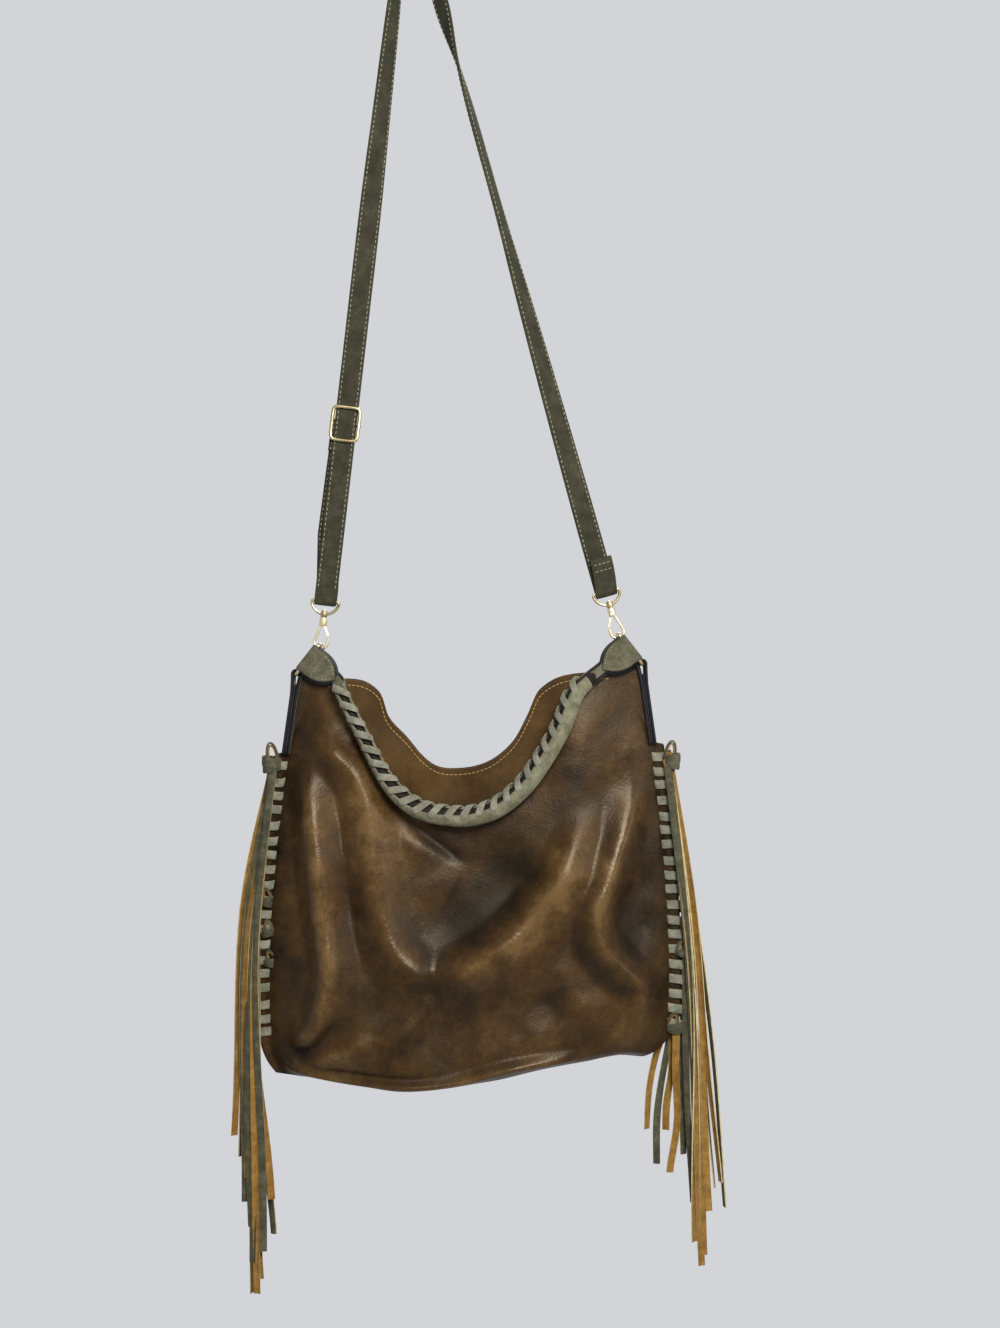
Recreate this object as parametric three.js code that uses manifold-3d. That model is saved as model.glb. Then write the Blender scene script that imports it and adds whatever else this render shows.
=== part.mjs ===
// A fringed hobo bag hung by its long strap. Millimetres, +Z up, the front faces -Y.
// The origin is the middle of the strap's underside, where the strap lies over what holds it.
import * as THREE from "three";
import { mergeVertices } from "three/addons/utils/BufferGeometryUtils.js";
import Module from "manifold-3d";

const wasm = await Module();
wasm.setup();

// Driving dimensions of the whole bag.
const RING_SPACING = 268;
const RING_RISE = 9.3;
const LEFT_REACH = 82.5;
const STRAP_DROP = 645;
const BAG_DROP = 385;
const BAG_DEPTH = 74;
const CORNER_DROP = 41;
const SIDE_FLARE = 47.5;
const SHOULDER_FLARE = 31.8;
const GAP = 0.3;

// Strap and slider.
const STRAP_WIDTH = 20;
const STRAP_THICK = 2.4;
const PEG_WIDTH = 18;
const PEG_FLAT = 12;
const PEG_SEAT = 10;
const PEG_ROUND = 7;
const FOLD_BACK = 12;
const STITCHED_END = 31;
const SLIDER_UP = 160;
const SLIDER_HEIGHT = 30;
const SLIDER_WIRE = 3.2;
const SLIDER_ROUND = 4;
const ADJUST_FOLD = 25;

// Snap hooks.
const D_RING_WIRE = 2.6;
const D_RING_DROP = 12;
const BOSS_RADIUS = 3.2;
const BOSS_HEIGHT = 5;
const RIVET_RADIUS = 1.2;
const RIVET_HEAD_RADIUS = 2.5;
const RIVET_HEAD_HEIGHT = 1.2;
const RIVET_GRIP = 4.2;
const RIVET_HEAD_TAPER = 0.8;
const HEAD_RADIUS = 3.6;
const HEAD_HEIGHT = 8;
const HOOK_WIRE = 3.2;
const HOOK_HALF = 6;
const HOOK_LENGTH = 22;
const NOSE_RISE = 4;
const ARM_INSET = 1.6;
const ARM_SUNK = 1;
const GATE_THICK = 2;
const GATE_WIDTH = 2.6;
const GATE_BEND = 3;
const GATE_TIP_CLEAR = 1.2;
const GATE_SLOT_BACK = 0.4;
const PIN_RADIUS = 0.7;
const PIN_OFFSET = 1.2;
const PIN_EDGE = 1.4;
const PIN_SHORT = 0.5;

// Rings, tabs and side straps.
const RING_WIRE = 3.4;
const RING_LENGTH = 34;
const RING_BREADTH = 20;
const RING_ROUND = 3;
const RING_TILT = THREE.MathUtils.degToRad(52);
const TAB_WIDTH = 25;
const TAB_LENGTH = 31;
const TAB_STRAIGHT = 8;
const TAB_LEATHER = 2;
const TAB_LEAF = 0.72;
const TAB_TO_HOOK = 1;
const SIDE_STRAP_WIDTH = 15;
const SIDE_STRAP_LEATHER = 2.6;
const SIDE_STRAP_LENGTH = 73;
const SIDE_STRAP_LEAN = THREE.MathUtils.degToRad(8);

// Body and side lacing.
const LEATHER = 2;
const MARGIN = 9;
const SIDE_ROUND = 110;
const SIDE_ROUND_POWER = 0.8;
const BOTTOM_TURN = 0.93;
const ROW_MOST = 40;
const FRONT_RIM_DROP = 151;
const BACK_RIM_DROP = 116;
const SEAM_GAP = 0.6;
const SHOULDER_ROUND = 3;
const LACE_WIDTH = 6.4;
const LACE_THICK = 1.2;
const LACE_PITCH = 13.4;
const LACE_INSET = 6.4;
const LACE_BELOW_SHOULDER = 7.4;
const LACE_SHORT = 29;
const SLOT_EASE = 0.4;

// Handle.
const HANDLE_DROP = 152;
const HANDLE_FRONT = 26;
const CORE_RADIUS = 4.4;
const CORE_END_THICK = 3.2;
const CORE_END_WIDTH = 12;
const HANDLE_LACE_THICK = 1.4;
const HANDLE_LACE_WIDTH = 6.5;
const HANDLE_PITCH = 13.5;
const SLEEVE_WALL = 2;
const SLEEVE_SEAM = THREE.MathUtils.degToRad(84);
const SLEEVE_INSET = 41.2;
const SLEEVE_STEP = 11.8;
const CORE_FLAT = 22.7;
const CORE_STEP = 9.37;

// Fringe.
const FRINGE_WIDTH = 6.5;
const FRINGE_THICK = 1.2;

// Sides of a round wire or pin.
const ROUND_SIDES = 8;

const finish = {
  leather: { color: 0x4b3a25, roughness: 0.45, metalness: 0 },
  suede: { color: 0x7c7a66, roughness: 0.9, metalness: 0 },
  strap: { color: 0x4a4730, roughness: 0.8, metalness: 0 },
  edge: { color: 0x15131a, roughness: 0.5, metalness: 0 },
  gold: { color: 0xd9c98f, roughness: 0.25, metalness: 1 },
  fringe: { color: 0x4c4b3a, roughness: 0.9, metalness: 0 },
};

const vec = (x, y, z) => new THREE.Vector3(x, y, z);
const lerp = THREE.MathUtils.lerp;

// A smooth function through a few [place, value] pairs, level beyond both ends.
function through(pairs) {
  const last = pairs.length - 1;
  const slopes = pairs.map((pair, i) => {
    const before = pairs[Math.max(i - 1, 0)];
    const after = pairs[Math.min(i + 1, last)];
    return (after[1] - before[1]) / (after[0] - before[0]);
  });
  return (place) => {
    const t = THREE.MathUtils.clamp(place, pairs[0][0], pairs[last][0]);
    let i = 0;
    while (i < last - 1 && pairs[i + 1][0] < t) i += 1;
    const span = pairs[i + 1][0] - pairs[i][0];
    const s = (t - pairs[i][0]) / span;
    const start = pairs[i][1] * (1 + 2 * s) * (1 - s) ** 2 + slopes[i] * span * s * (1 - s) ** 2;
    const end = pairs[i + 1][1] * s * s * (3 - 2 * s) - slopes[i + 1] * span * s * s * (1 - s);
    return start + end;
  };
}

// A straight-line function through [place, value] pairs.
function along(pairs) {
  return (place) => {
    const last = pairs.length - 1;
    const t = THREE.MathUtils.clamp(place, pairs[0][0], pairs[last][0]);
    let i = 0;
    while (i < last - 1 && pairs[i + 1][0] < t) i += 1;
    const s = (t - pairs[i][0]) / (pairs[i + 1][0] - pairs[i][0]);
    return lerp(pairs[i][1], pairs[i + 1][1], s);
  };
}

function geometryFrom(points, index) {
  const flat = points.flatMap((p) => [p.x, p.y, p.z]);
  const made = new THREE.BufferGeometry();
  made.setAttribute("position", new THREE.Float32BufferAttribute(flat, 3));
  made.setIndex(index);
  return outward(made);
}

// Turns every face round if the solid is inside out.
function outward(geometry) {
  const at = geometry.getAttribute("position");
  const index = geometry.getIndex().array;
  const corner = (i) => vec(at.getX(index[i]), at.getY(index[i]), at.getZ(index[i]));
  let volume = 0;
  for (let i = 0; i < index.length; i += 3) {
    volume += corner(i).dot(corner(i + 1).cross(corner(i + 2)));
  }
  if (volume < 0) {
    const turned = Array.from(index);
    turned.reverse();
    geometry.setIndex(turned);
  }
  return geometry;
}

// A solid through sections that have the same outline order; ends are capped unless it closes on itself.
function loft(sections, capOutline, closes) {
  const n = sections[0].length;
  const count = sections.length;
  const index = [];
  for (let i = 0; i < (closes ? count : count - 1); i += 1) {
    const j = (i + 1) % count;
    for (let k = 0; k < n; k += 1) {
      const m = (k + 1) % n;
      index.push(i * n + k, i * n + m, j * n + m);
      index.push(i * n + k, j * n + m, j * n + k);
    }
  }
  if (!closes) {
    const end = (count - 1) * n;
    for (const [a, b, c] of THREE.ShapeUtils.triangulateShape(capOutline, [])) {
      index.push(a, c, b);
      index.push(end + a, end + b, end + c);
    }
  }
  return geometryFrom(sections.flat(), index);
}

// A solid swept along stations, each with a place and the two axes that its flat outline lies on.
function sweep(stations, outline, closes = false) {
  const sections = stations.map(({ place, across, up }) =>
    outline.map((p) => place.clone().addScaledVector(across, p.x).addScaledVector(up, p.y)),
  );
  return loft(sections, outline, closes);
}

function roundOutline(radius, sides = ROUND_SIDES) {
  const turn = (2 * Math.PI) / sides;
  return Array.from({ length: sides }, (_, i) => {
    const angle = (i + 0.5) * turn;
    return new THREE.Vector2(radius * Math.cos(angle), radius * Math.sin(angle));
  });
}

function flatOutline(width, thick) {
  return [
    new THREE.Vector2(-width / 2, -thick / 2),
    new THREE.Vector2(width / 2, -thick / 2),
    new THREE.Vector2(width / 2, thick / 2),
    new THREE.Vector2(-width / 2, thick / 2),
  ];
}

// Stations along a path that lies in one plane, mitred at its corners.
function planarStations(points, normal, closes = false) {
  const count = points.length;
  return points.map((place, i) => {
    const before = closes || i > 0 ? points[(i + count - 1) % count] : null;
    const after = closes || i < count - 1 ? points[(i + 1) % count] : null;
    const arrive = before ? place.clone().sub(before).normalize() : null;
    const leave = after ? after.clone().sub(place).normalize() : arrive;
    const come = arrive ?? leave;
    const heading = come.clone().add(leave).normalize();
    const mitre = 1 / Math.max(heading.dot(leave), 0.5);
    const across = heading.clone().cross(normal).multiplyScalar(mitre);
    return { place, across, up: normal };
  });
}

function arc(centre, radius, from, to, steps) {
  return Array.from({ length: steps + 1 }, (_, i) => {
    const angle = lerp(from, to, i / steps);
    return vec(centre.x + radius * Math.cos(angle), centre.y, centre.z + radius * Math.sin(angle));
  });
}

// Solids for cutting and joining.
function solid(geometry) {
  const bare = geometry.clone();
  bare.deleteAttribute("normal");
  bare.deleteAttribute("uv");
  const merged = mergeVertices(bare, 1e-4);
  const vertProperties = merged.getAttribute("position").array;
  const triVerts = new Uint32Array(merged.getIndex().array);
  return new wasm.Manifold(new wasm.Mesh({ numProp: 3, vertProperties, triVerts }));
}

function geometryOf(made) {
  const { vertProperties, triVerts } = made.getMesh();
  const geometry = new THREE.BufferGeometry();
  geometry.setAttribute("position", new THREE.Float32BufferAttribute(vertProperties, 3));
  geometry.setIndex(Array.from(triVerts));
  return geometry;
}

function mesh(name, geometry, look) {
  const shown = geometry.clone();
  shown.computeVertexNormals();
  const made = new THREE.Mesh(shown, new THREE.MeshStandardMaterial(finish[look]));
  made.name = name;
  return made;
}

// A pin along Y, or along Z when upright, from plain round steps.
function pin(radius, length, at, upright) {
  const made = new THREE.CylinderGeometry(radius, radius, length, ROUND_SIDES);
  if (upright) made.rotateX(Math.PI / 2);
  return made.translate(at.x, at.y, at.z);
}

function block(low, high) {
  const size = high.clone().sub(low);
  const middle = low.clone().add(high).multiplyScalar(0.5);
  return new THREE.BoxGeometry(size.x, size.y, size.z).translate(middle.x, middle.y, middle.z);
}

// Places worked out from the driving dimensions.
const WRAP = D_RING_WIRE / 2 + 1.5 * GAP + STRAP_THICK / 2;
const BAG_Y = WRAP;
const HEAD_TOP = -(D_RING_DROP + BOSS_HEIGHT / 2 + GAP);
const HOOK_BOTTOM = HEAD_TOP - HEAD_HEIGHT - HOOK_LENGTH + HOOK_WIRE / 2;
const RING_SEAT = HOOK_BOTTOM + HOOK_WIRE / 2 + GAP + RING_WIRE / 2;
const sides = {
  left: { name: "left", out: -1, ring: vec(-LEFT_REACH, BAG_Y, -STRAP_DROP) },
  right: { name: "right", out: 1, ring: vec(RING_SPACING - LEFT_REACH, BAG_Y, RING_RISE - STRAP_DROP) },
};
for (const side of Object.values(sides)) {
  const top = vec((side.out * PEG_WIDTH) / 2, BAG_Y, -PEG_ROUND);
  side.top = top;
  side.upward = top.clone().sub(side.ring).normalize();
  side.lean = Math.atan2(side.upward.x, side.upward.z);
  side.bar = side.ring.clone().addScaledVector(side.upward, -RING_SEAT);
}

// Strap: one band from the left D-ring over the top to the right D-ring, turned edge-on near the top.
const leftTwist = through([[0, 90], [66, 62], [160, 42], [260, 14], [330, 0], [345, 0]]);
const rightTwist = through([[0, 90], [66, 128], [120, 88], [162, 64], [335, 46], [480, 18], [560, 0]]);

function strapStation(side, place, forward, twist) {
  const lengthways = side.upward;
  const inPlane = vec(lengthways.z, 0, -lengthways.x);
  const angle = THREE.MathUtils.degToRad(twist);
  const across = inPlane.multiplyScalar(Math.cos(angle)).add(vec(0, Math.sin(angle), 0));
  across.addScaledVector(forward, -across.dot(forward)).normalize();
  return { place, across, up: forward.clone().cross(across).normalize() };
}

function legPlace(side, up, depth) {
  return vec(side.bar.x, depth, side.bar.z).addScaledVector(side.upward, up);
}

// The band's turn round a D-ring bar, as [rise, depth] pairs from the back to the front.
function barTurn() {
  return Array.from({ length: 9 }, (_, i) => {
    const angle = (i / 8) * Math.PI;
    return [-WRAP * Math.sin(angle), BAG_Y + WRAP * Math.cos(angle)];
  });
}

function crossbodyStrap() {
  const { left, right } = sides;
  const path = [];
  const add = (side, rise, depth) => path.push({ side, place: legPlace(side, rise, depth) });
  const legLength = (side) => side.top.distanceTo(side.bar);
  const steps = 26;
  add(left, FOLD_BACK, BAG_Y + WRAP);
  for (const [rise, depth] of barTurn()) add(left, rise, depth);
  for (let i = 1; i <= steps; i += 1) add(left, (legLength(left) * i) / steps, BAG_Y - WRAP);
  const crown = PEG_ROUND + STRAP_THICK / 2;
  for (const angle of [150, 120, 90]) {
    const turn = THREE.MathUtils.degToRad(angle);
    const place = vec(crown * Math.cos(turn) - PEG_FLAT / 2, 0, crown * Math.sin(turn) - PEG_ROUND);
    path.push({ side: left, place });
  }
  path.push({ side: left, place: vec(-PEG_SEAT / 2, 0, STRAP_THICK / 2) });
  path.push({ side: right, place: vec(PEG_SEAT / 2, 0, STRAP_THICK / 2) });
  for (const angle of [90, 60, 30]) {
    const turn = THREE.MathUtils.degToRad(angle);
    const place = vec(crown * Math.cos(turn) + PEG_FLAT / 2, 0, crown * Math.sin(turn) - PEG_ROUND);
    path.push({ side: right, place });
  }
  for (let i = steps; i >= 1; i -= 1) {
    const share = i / steps;
    add(right, legLength(right) * share, lerp(BAG_Y + WRAP, BAG_Y - WRAP, share));
  }
  for (const [rise, depth] of barTurn()) add(right, rise, depth);
  add(right, STITCHED_END, BAG_Y - WRAP);
  const stations = path.map(({ side, place }, i) => {
    const before = path[Math.max(i - 1, 0)].place;
    const after = path[Math.min(i + 1, path.length - 1)].place;
    const forward = after.clone().sub(before).normalize();
    const twist = side === left ? leftTwist(-place.z) : rightTwist(-place.z);
    return strapStation(side, place, forward, twist);
  });
  return sweep(stations, flatOutline(STRAP_WIDTH, STRAP_THICK));
}

// Slider: a rounded wire frame before the strap, with a centre bar that passes behind it.
const SLIDER_INNER = STRAP_WIDTH + 4 * GAP;
const SLIDER_HALF = SLIDER_INNER / 2 + SLIDER_WIRE / 2;
const SLIDER_FRONT = -(STRAP_THICK / 2 + GAP + SLIDER_WIRE / 2);
const SLIDER_BACK = STRAP_THICK * 1.5 + 2 * GAP + SLIDER_WIRE / 2;

function sliderBuckle() {
  const half = SLIDER_HEIGHT / 2;
  const corners = [[1, 1, 0], [-1, 1, 90], [-1, -1, 180], [1, -1, 270]];
  const outline = corners.flatMap(([x, z, angle]) => {
    const centre = vec(x * (SLIDER_HALF - SLIDER_ROUND), SLIDER_FRONT, z * (half - SLIDER_ROUND));
    const from = THREE.MathUtils.degToRad(angle);
    return arc(centre, SLIDER_ROUND, from, from + Math.PI / 2, 3);
  });
  const frame = sweep(planarStations(outline, vec(0, 1, 0), true), roundOutline(SLIDER_WIRE / 2), true);
  const staple = [
    vec(-SLIDER_HALF, SLIDER_FRONT, 0),
    vec(-SLIDER_HALF, SLIDER_BACK, 0),
    vec(SLIDER_HALF, SLIDER_BACK, 0),
    vec(SLIDER_HALF, SLIDER_FRONT, 0),
  ];
  const bar = sweep(planarStations(staple, vec(0, 0, 1)), roundOutline(SLIDER_WIRE / 2 - GAP / 2));
  return geometryOf(solid(frame).add(solid(bar)));
}

// The strap's other end: folded round the slider's centre bar and led down behind the leg.
function strapAdjustRun() {
  const turn = SLIDER_WIRE / 2 + GAP / 2 + STRAP_THICK / 2;
  const start = FOLD_BACK + GAP;
  const path = [vec(0, SLIDER_BACK - turn, SLIDER_UP - ADJUST_FOLD)];
  for (let i = 0; i <= 6; i += 1) {
    const angle = Math.PI * (1 - i / 6);
    path.push(vec(0, SLIDER_BACK + turn * Math.cos(angle), SLIDER_UP + turn * Math.sin(angle)));
  }
  path.push(vec(0, SLIDER_BACK + turn, SLIDER_UP - ADJUST_FOLD));
  path.push(vec(0, 2 * WRAP, start + ADJUST_FOLD));
  path.push(vec(0, 2 * WRAP, start));
  const outline = flatOutline(STRAP_THICK, STRAP_WIDTH);
  return sweep(planarStations(path, vec(1, 0, 0)), outline);
}

// Snap hook pieces, in a frame whose origin is the D-ring's bar and whose Z runs up the leg.
function dRing() {
  const half = STRAP_WIDTH / 2 + 4 * GAP + D_RING_WIRE / 2;
  const bow = Array.from({ length: 13 }, (_, i) => {
    const angle = (i / 12) * Math.PI;
    return vec(half * Math.cos(angle), 0, -D_RING_DROP * Math.sin(angle));
  });
  const ring = sweep(planarStations(bow, vec(0, 1, 0), true), roundOutline(D_RING_WIRE / 2), true);
  const at = vec(0, 0, -D_RING_DROP);
  const boss = solid(pin(BOSS_RADIUS, BOSS_HEIGHT, at, true));
  const bore = solid(pin(RIVET_RADIUS + GAP, 2 * BOSS_HEIGHT, at, true));
  return geometryOf(solid(ring).add(boss).subtract(bore));
}

function swivelRivet() {
  const head = -D_RING_DROP + BOSS_HEIGHT / 2 + GAP;
  const foot = HEAD_TOP - RIVET_GRIP;
  const profile = [
    new THREE.Vector2(0, foot),
    new THREE.Vector2(RIVET_RADIUS, foot),
    new THREE.Vector2(RIVET_RADIUS, head),
    new THREE.Vector2(RIVET_HEAD_RADIUS, head),
    new THREE.Vector2(RIVET_HEAD_RADIUS * RIVET_HEAD_TAPER, head + RIVET_HEAD_HEIGHT),
    new THREE.Vector2(0, head + RIVET_HEAD_HEIGHT),
  ];
  return new THREE.LatheGeometry(profile, ROUND_SIDES).rotateX(Math.PI / 2);
}

// The gate pin's place in the hook's head, on the side towards the bag's middle.
const PIN_DROP = HEAD_TOP - HEAD_HEIGHT + PIN_RADIUS + PIN_EDGE;
const NOSE_TOP = HOOK_BOTTOM + HOOK_HALF + NOSE_RISE;

function hookBody(inner) {
  const turnCentre = vec(0, 0, HOOK_BOTTOM + HOOK_HALF);
  const path = [vec(-inner * ARM_INSET, 0, HEAD_TOP - HEAD_HEIGHT + ARM_SUNK)];
  const bend = arc(turnCentre, HOOK_HALF, Math.PI, 2 * Math.PI, 8);
  for (const p of bend) path.push(vec(p.x * inner, p.y, p.z));
  path.push(vec(inner * HOOK_HALF, 0, NOSE_TOP));
  const wire = sweep(planarStations(path, vec(0, 1, 0)), roundOutline(HOOK_WIRE / 2));
  const headMiddle = vec(0, 0, HEAD_TOP - HEAD_HEIGHT / 2);
  const head = solid(pin(HEAD_RADIUS, HEAD_HEIGHT, headMiddle, true));
  const foot = HEAD_TOP - RIVET_GRIP - GAP;
  const boreMiddle = vec(0, 0, (HEAD_TOP + foot + GAP) / 2);
  const bore = pin(RIVET_RADIUS + GAP, RIVET_GRIP + 2 * GAP, boreMiddle, true);
  const slotHalf = GATE_THICK / 2 + GAP;
  const reach = HEAD_RADIUS + GAP;
  const edges = [-inner * GATE_SLOT_BACK, inner * reach].sort((a, b) => a - b);
  const low = vec(edges[0], -slotHalf, HEAD_TOP - HEAD_HEIGHT - GAP);
  const high = vec(edges[1], slotHalf, PIN_DROP + GATE_WIDTH / 2 + GAP);
  const pinAt = vec(inner * PIN_OFFSET, 0, PIN_DROP);
  const pinHole = pin(PIN_RADIUS + GAP / 2, 3 * HEAD_RADIUS, pinAt, false);
  return geometryOf(
    head.add(solid(wire)).subtract(solid(bore)).subtract(solid(block(low, high))).subtract(solid(pinHole)),
  );
}

// The gate: a flat lever from the pin down to the hook's nose.
function hookGate(inner) {
  const at = vec(inner * PIN_OFFSET, 0, PIN_DROP);
  const tip = vec(inner * HOOK_HALF, 0, NOSE_TOP + GATE_TIP_CLEAR);
  const shaft = [at, vec(inner * HOOK_HALF, 0, NOSE_TOP + GATE_BEND), tip];
  const outline = flatOutline(GATE_WIDTH, GATE_THICK);
  const lever = solid(sweep(planarStations(shaft, vec(0, 1, 0)), outline));
  const eye = solid(pin(GATE_WIDTH / 2, GATE_THICK, at, false));
  const hole = solid(pin(PIN_RADIUS + GAP / 2, 3 * GATE_THICK, at, false));
  return geometryOf(lever.add(eye).subtract(hole));
}

function gatePin(inner) {
  const at = vec(inner * PIN_OFFSET, 0, PIN_DROP);
  return pin(PIN_RADIUS, 2 * (HEAD_RADIUS - PIN_SHORT), at, false);
}

// Ring: a rounded rectangle of wire, lengthways along X and broad along Y, from its upper bar.
function bagRing() {
  const long = RING_LENGTH / 2;
  const broad = RING_BREADTH / 2;
  const corners = [[1, 1, 0], [-1, 1, 90], [-1, -1, 180], [1, -1, 270]];
  const outline = corners.flatMap(([x, y, angle]) => {
    const from = THREE.MathUtils.degToRad(angle);
    return Array.from({ length: 4 }, (_, i) => {
      const at = from + (i / 3) * (Math.PI / 2);
      const place = vec(x * (long - RING_ROUND), y * (broad - RING_ROUND), 0);
      return place.add(vec(RING_ROUND * Math.cos(at), RING_ROUND * Math.sin(at), 0));
    });
  });
  const stations = planarStations(outline, vec(0, 0, 1), true);
  return sweep(stations, roundOutline(RING_WIRE / 2), true).translate(long, 0, 0);
}

// Handle tab: leather folded round the ring's front bar, cut to a leaf. X runs along the bar, Z away from it.
const TAB_INNER = RING_WIRE / 2 + GAP;
const TAB_OUTER = TAB_INNER + TAB_LEATHER;

function handleTab() {
  const fold = new THREE.Shape();
  fold.moveTo(TAB_OUTER, 0);
  fold.absarc(0, 0, TAB_OUTER, 0, Math.PI, false);
  fold.lineTo(-TAB_OUTER, -TAB_LENGTH);
  fold.lineTo(-TAB_INNER, -TAB_LENGTH);
  fold.lineTo(-TAB_INNER, 0);
  fold.absarc(0, 0, TAB_INNER, Math.PI, 0, true);
  fold.lineTo(TAB_INNER, -TAB_LENGTH);
  fold.lineTo(TAB_OUTER, -TAB_LENGTH);
  const sheet = { depth: TAB_WIDTH, bevelEnabled: false, curveSegments: 6 };
  const folded = new THREE.ExtrudeGeometry(fold, sheet);
  folded.translate(0, 0, -TAB_WIDTH / 2).rotateX(Math.PI / 2).rotateZ(Math.PI / 2);
  const leaf = new THREE.Shape();
  const half = TAB_WIDTH / 2;
  leaf.moveTo(-half, TAB_OUTER + GAP);
  leaf.lineTo(half, TAB_OUTER + GAP);
  leaf.lineTo(half, -TAB_STRAIGHT);
  leaf.quadraticCurveTo(half, -TAB_LENGTH * TAB_LEAF, 0, -TAB_LENGTH);
  leaf.quadraticCurveTo(-half, -TAB_LENGTH * TAB_LEAF, -half, -TAB_STRAIGHT);
  const cutter = new THREE.ExtrudeGeometry(leaf, { ...sheet, depth: 4 * TAB_OUTER });
  cutter.translate(0, 0, -2 * TAB_OUTER).rotateX(Math.PI / 2);
  return geometryOf(solid(folded).intersect(solid(cutter)));
}

// Black-edged side strap: folded over the ring's lower bar, broad along Y, hanging down -Z.
function sideStrap() {
  const inner = RING_WIRE / 2 + GAP;
  const outer = inner + SIDE_STRAP_LEATHER;
  const fold = new THREE.Shape();
  fold.moveTo(outer, 0);
  fold.absarc(0, 0, outer, 0, Math.PI, false);
  fold.lineTo(-outer, -SIDE_STRAP_LENGTH);
  fold.lineTo(-inner, -SIDE_STRAP_LENGTH);
  fold.lineTo(-inner, 0);
  fold.absarc(0, 0, inner, Math.PI, 0, true);
  fold.lineTo(inner, -SIDE_STRAP_LENGTH);
  fold.lineTo(outer, -SIDE_STRAP_LENGTH);
  const settings = { depth: SIDE_STRAP_WIDTH, bevelEnabled: false, curveSegments: 8 };
  const folded = new THREE.ExtrudeGeometry(fold, settings);
  return folded.translate(0, 0, -SIDE_STRAP_WIDTH / 2).rotateX(Math.PI / 2);
}

// Body outline, as drops below the line between the two rings and shares of the width.
const STRAP_FOLD = RING_WIRE / 2 + GAP + SIDE_STRAP_LEATHER;
const LOWER_BAR_OUT = RING_LENGTH * Math.cos(RING_TILT);
const LOWER_BAR_DROP = RING_LENGTH * Math.sin(RING_TILT);
const SHOULDER = LOWER_BAR_DROP + SIDE_STRAP_LENGTH * Math.cos(SIDE_STRAP_LEAN) + 5 * GAP;
const LACE_TOP = SHOULDER + LACE_BELOW_SHOULDER;
const LACE_BOTTOM = BAG_DROP - LACE_SHORT;
const sized = (pairs, place, value) => pairs.map(([a, b]) => [a * place, b * value]);
const flareShares = [[0.43, 0.84], [0.71, 1], [0.91, 0.97], [0.97, 0.86], [1.02, 0.6]];
const flare = through([[SHOULDER, SHOULDER_FLARE], ...sized(flareShares, BAG_DROP, SIDE_FLARE)]);
const bottomDip = through([
  [0, 0], [0.08, 5], [0.31, 15], [0.43, 14], [0.55, 10], [0.72, -1], [0.89, -7], [1, -5],
]);
const backRimDip = through([
  [0, 0], [0.16, -0.02], [0.23, 0.12], [0.27, 0.4], [0.33, 0.63], [0.4, 0.93], [0.45, 1],
  [0.54, 0.95], [0.61, 0.74], [0.66, 0.45], [0.71, 0.15], [0.8, 0], [1, 0],
]);
const frontRimDip = through([
  [0, 0], [0.1, 0], [0.16, 0.2], [0.23, 0.48], [0.29, 0.77], [0.35, 0.95], [0.45, 1],
  [0.56, 0.95], [0.64, 0.77], [0.7, 0.53], [0.76, 0.22], [0.83, 0.02], [1, 0],
]);
const fullness = along([[0, 0.3], [0.3, 0.55], [0.6, 0.82], [0.85, 1], [0.93, 0.93], [0.975, 0.68], [1, 0]]);

// How far outside its ring the body's edge lies at a drop: along the side strap, then the laced margin.
function edgeOut(drop) {
  const besideStrap = LOWER_BAR_OUT + (drop - LOWER_BAR_DROP) * Math.tan(SIDE_STRAP_LEAN);
  const laced = flare(drop) + MARGIN;
  const share = THREE.MathUtils.clamp((drop - SHOULDER) / SHOULDER_ROUND, 0, 1);
  return lerp(besideStrap - STRAP_FOLD - 2 * GAP, laced, share);
}

// A point of a panel's outer face; facing is -1 for the front and 1 for the back.
function panelPoint(u, v, facing, rimDip, rimDrop) {
  const { left, right } = sides;
  const top = CORNER_DROP + rimDip(u) * (rimDrop - CORNER_DROP);
  const drop = lerp(top, BAG_DROP + bottomDip(u), v);
  const from = left.ring.x - edgeOut(drop);
  const to = right.ring.x + edgeOut(drop);
  const x = lerp(from, to, u);
  const inside = Math.min(x - from, to - x) - MARGIN;
  const inwards = THREE.MathUtils.clamp(inside / SIDE_ROUND, 0, 1);
  const round = Math.sin(inwards * (Math.PI / 2)) ** SIDE_ROUND_POWER;
  const closing = round * THREE.MathUtils.smoothstep(v, BOTTOM_TURN, 1);
  const proud = SEAM_GAP / 2 + LEATHER * (1 - closing) + (round * fullness(v) * BAG_DEPTH) / 2;
  return vec(x, BAG_Y + facing * proud, left.ring.z + RING_RISE * u - drop);
}

// Rows no further apart than the most, so that the panel's edge follows its laced outline.
function splitTall(rows, most) {
  return rows.flatMap((row, i) => {
    const next = rows[i + 1] ?? row;
    const pieces = Math.max(Math.ceil((next - row) / most), 1);
    return Array.from({ length: pieces }, (_, k) => lerp(row, next, k / pieces));
  });
}

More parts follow.
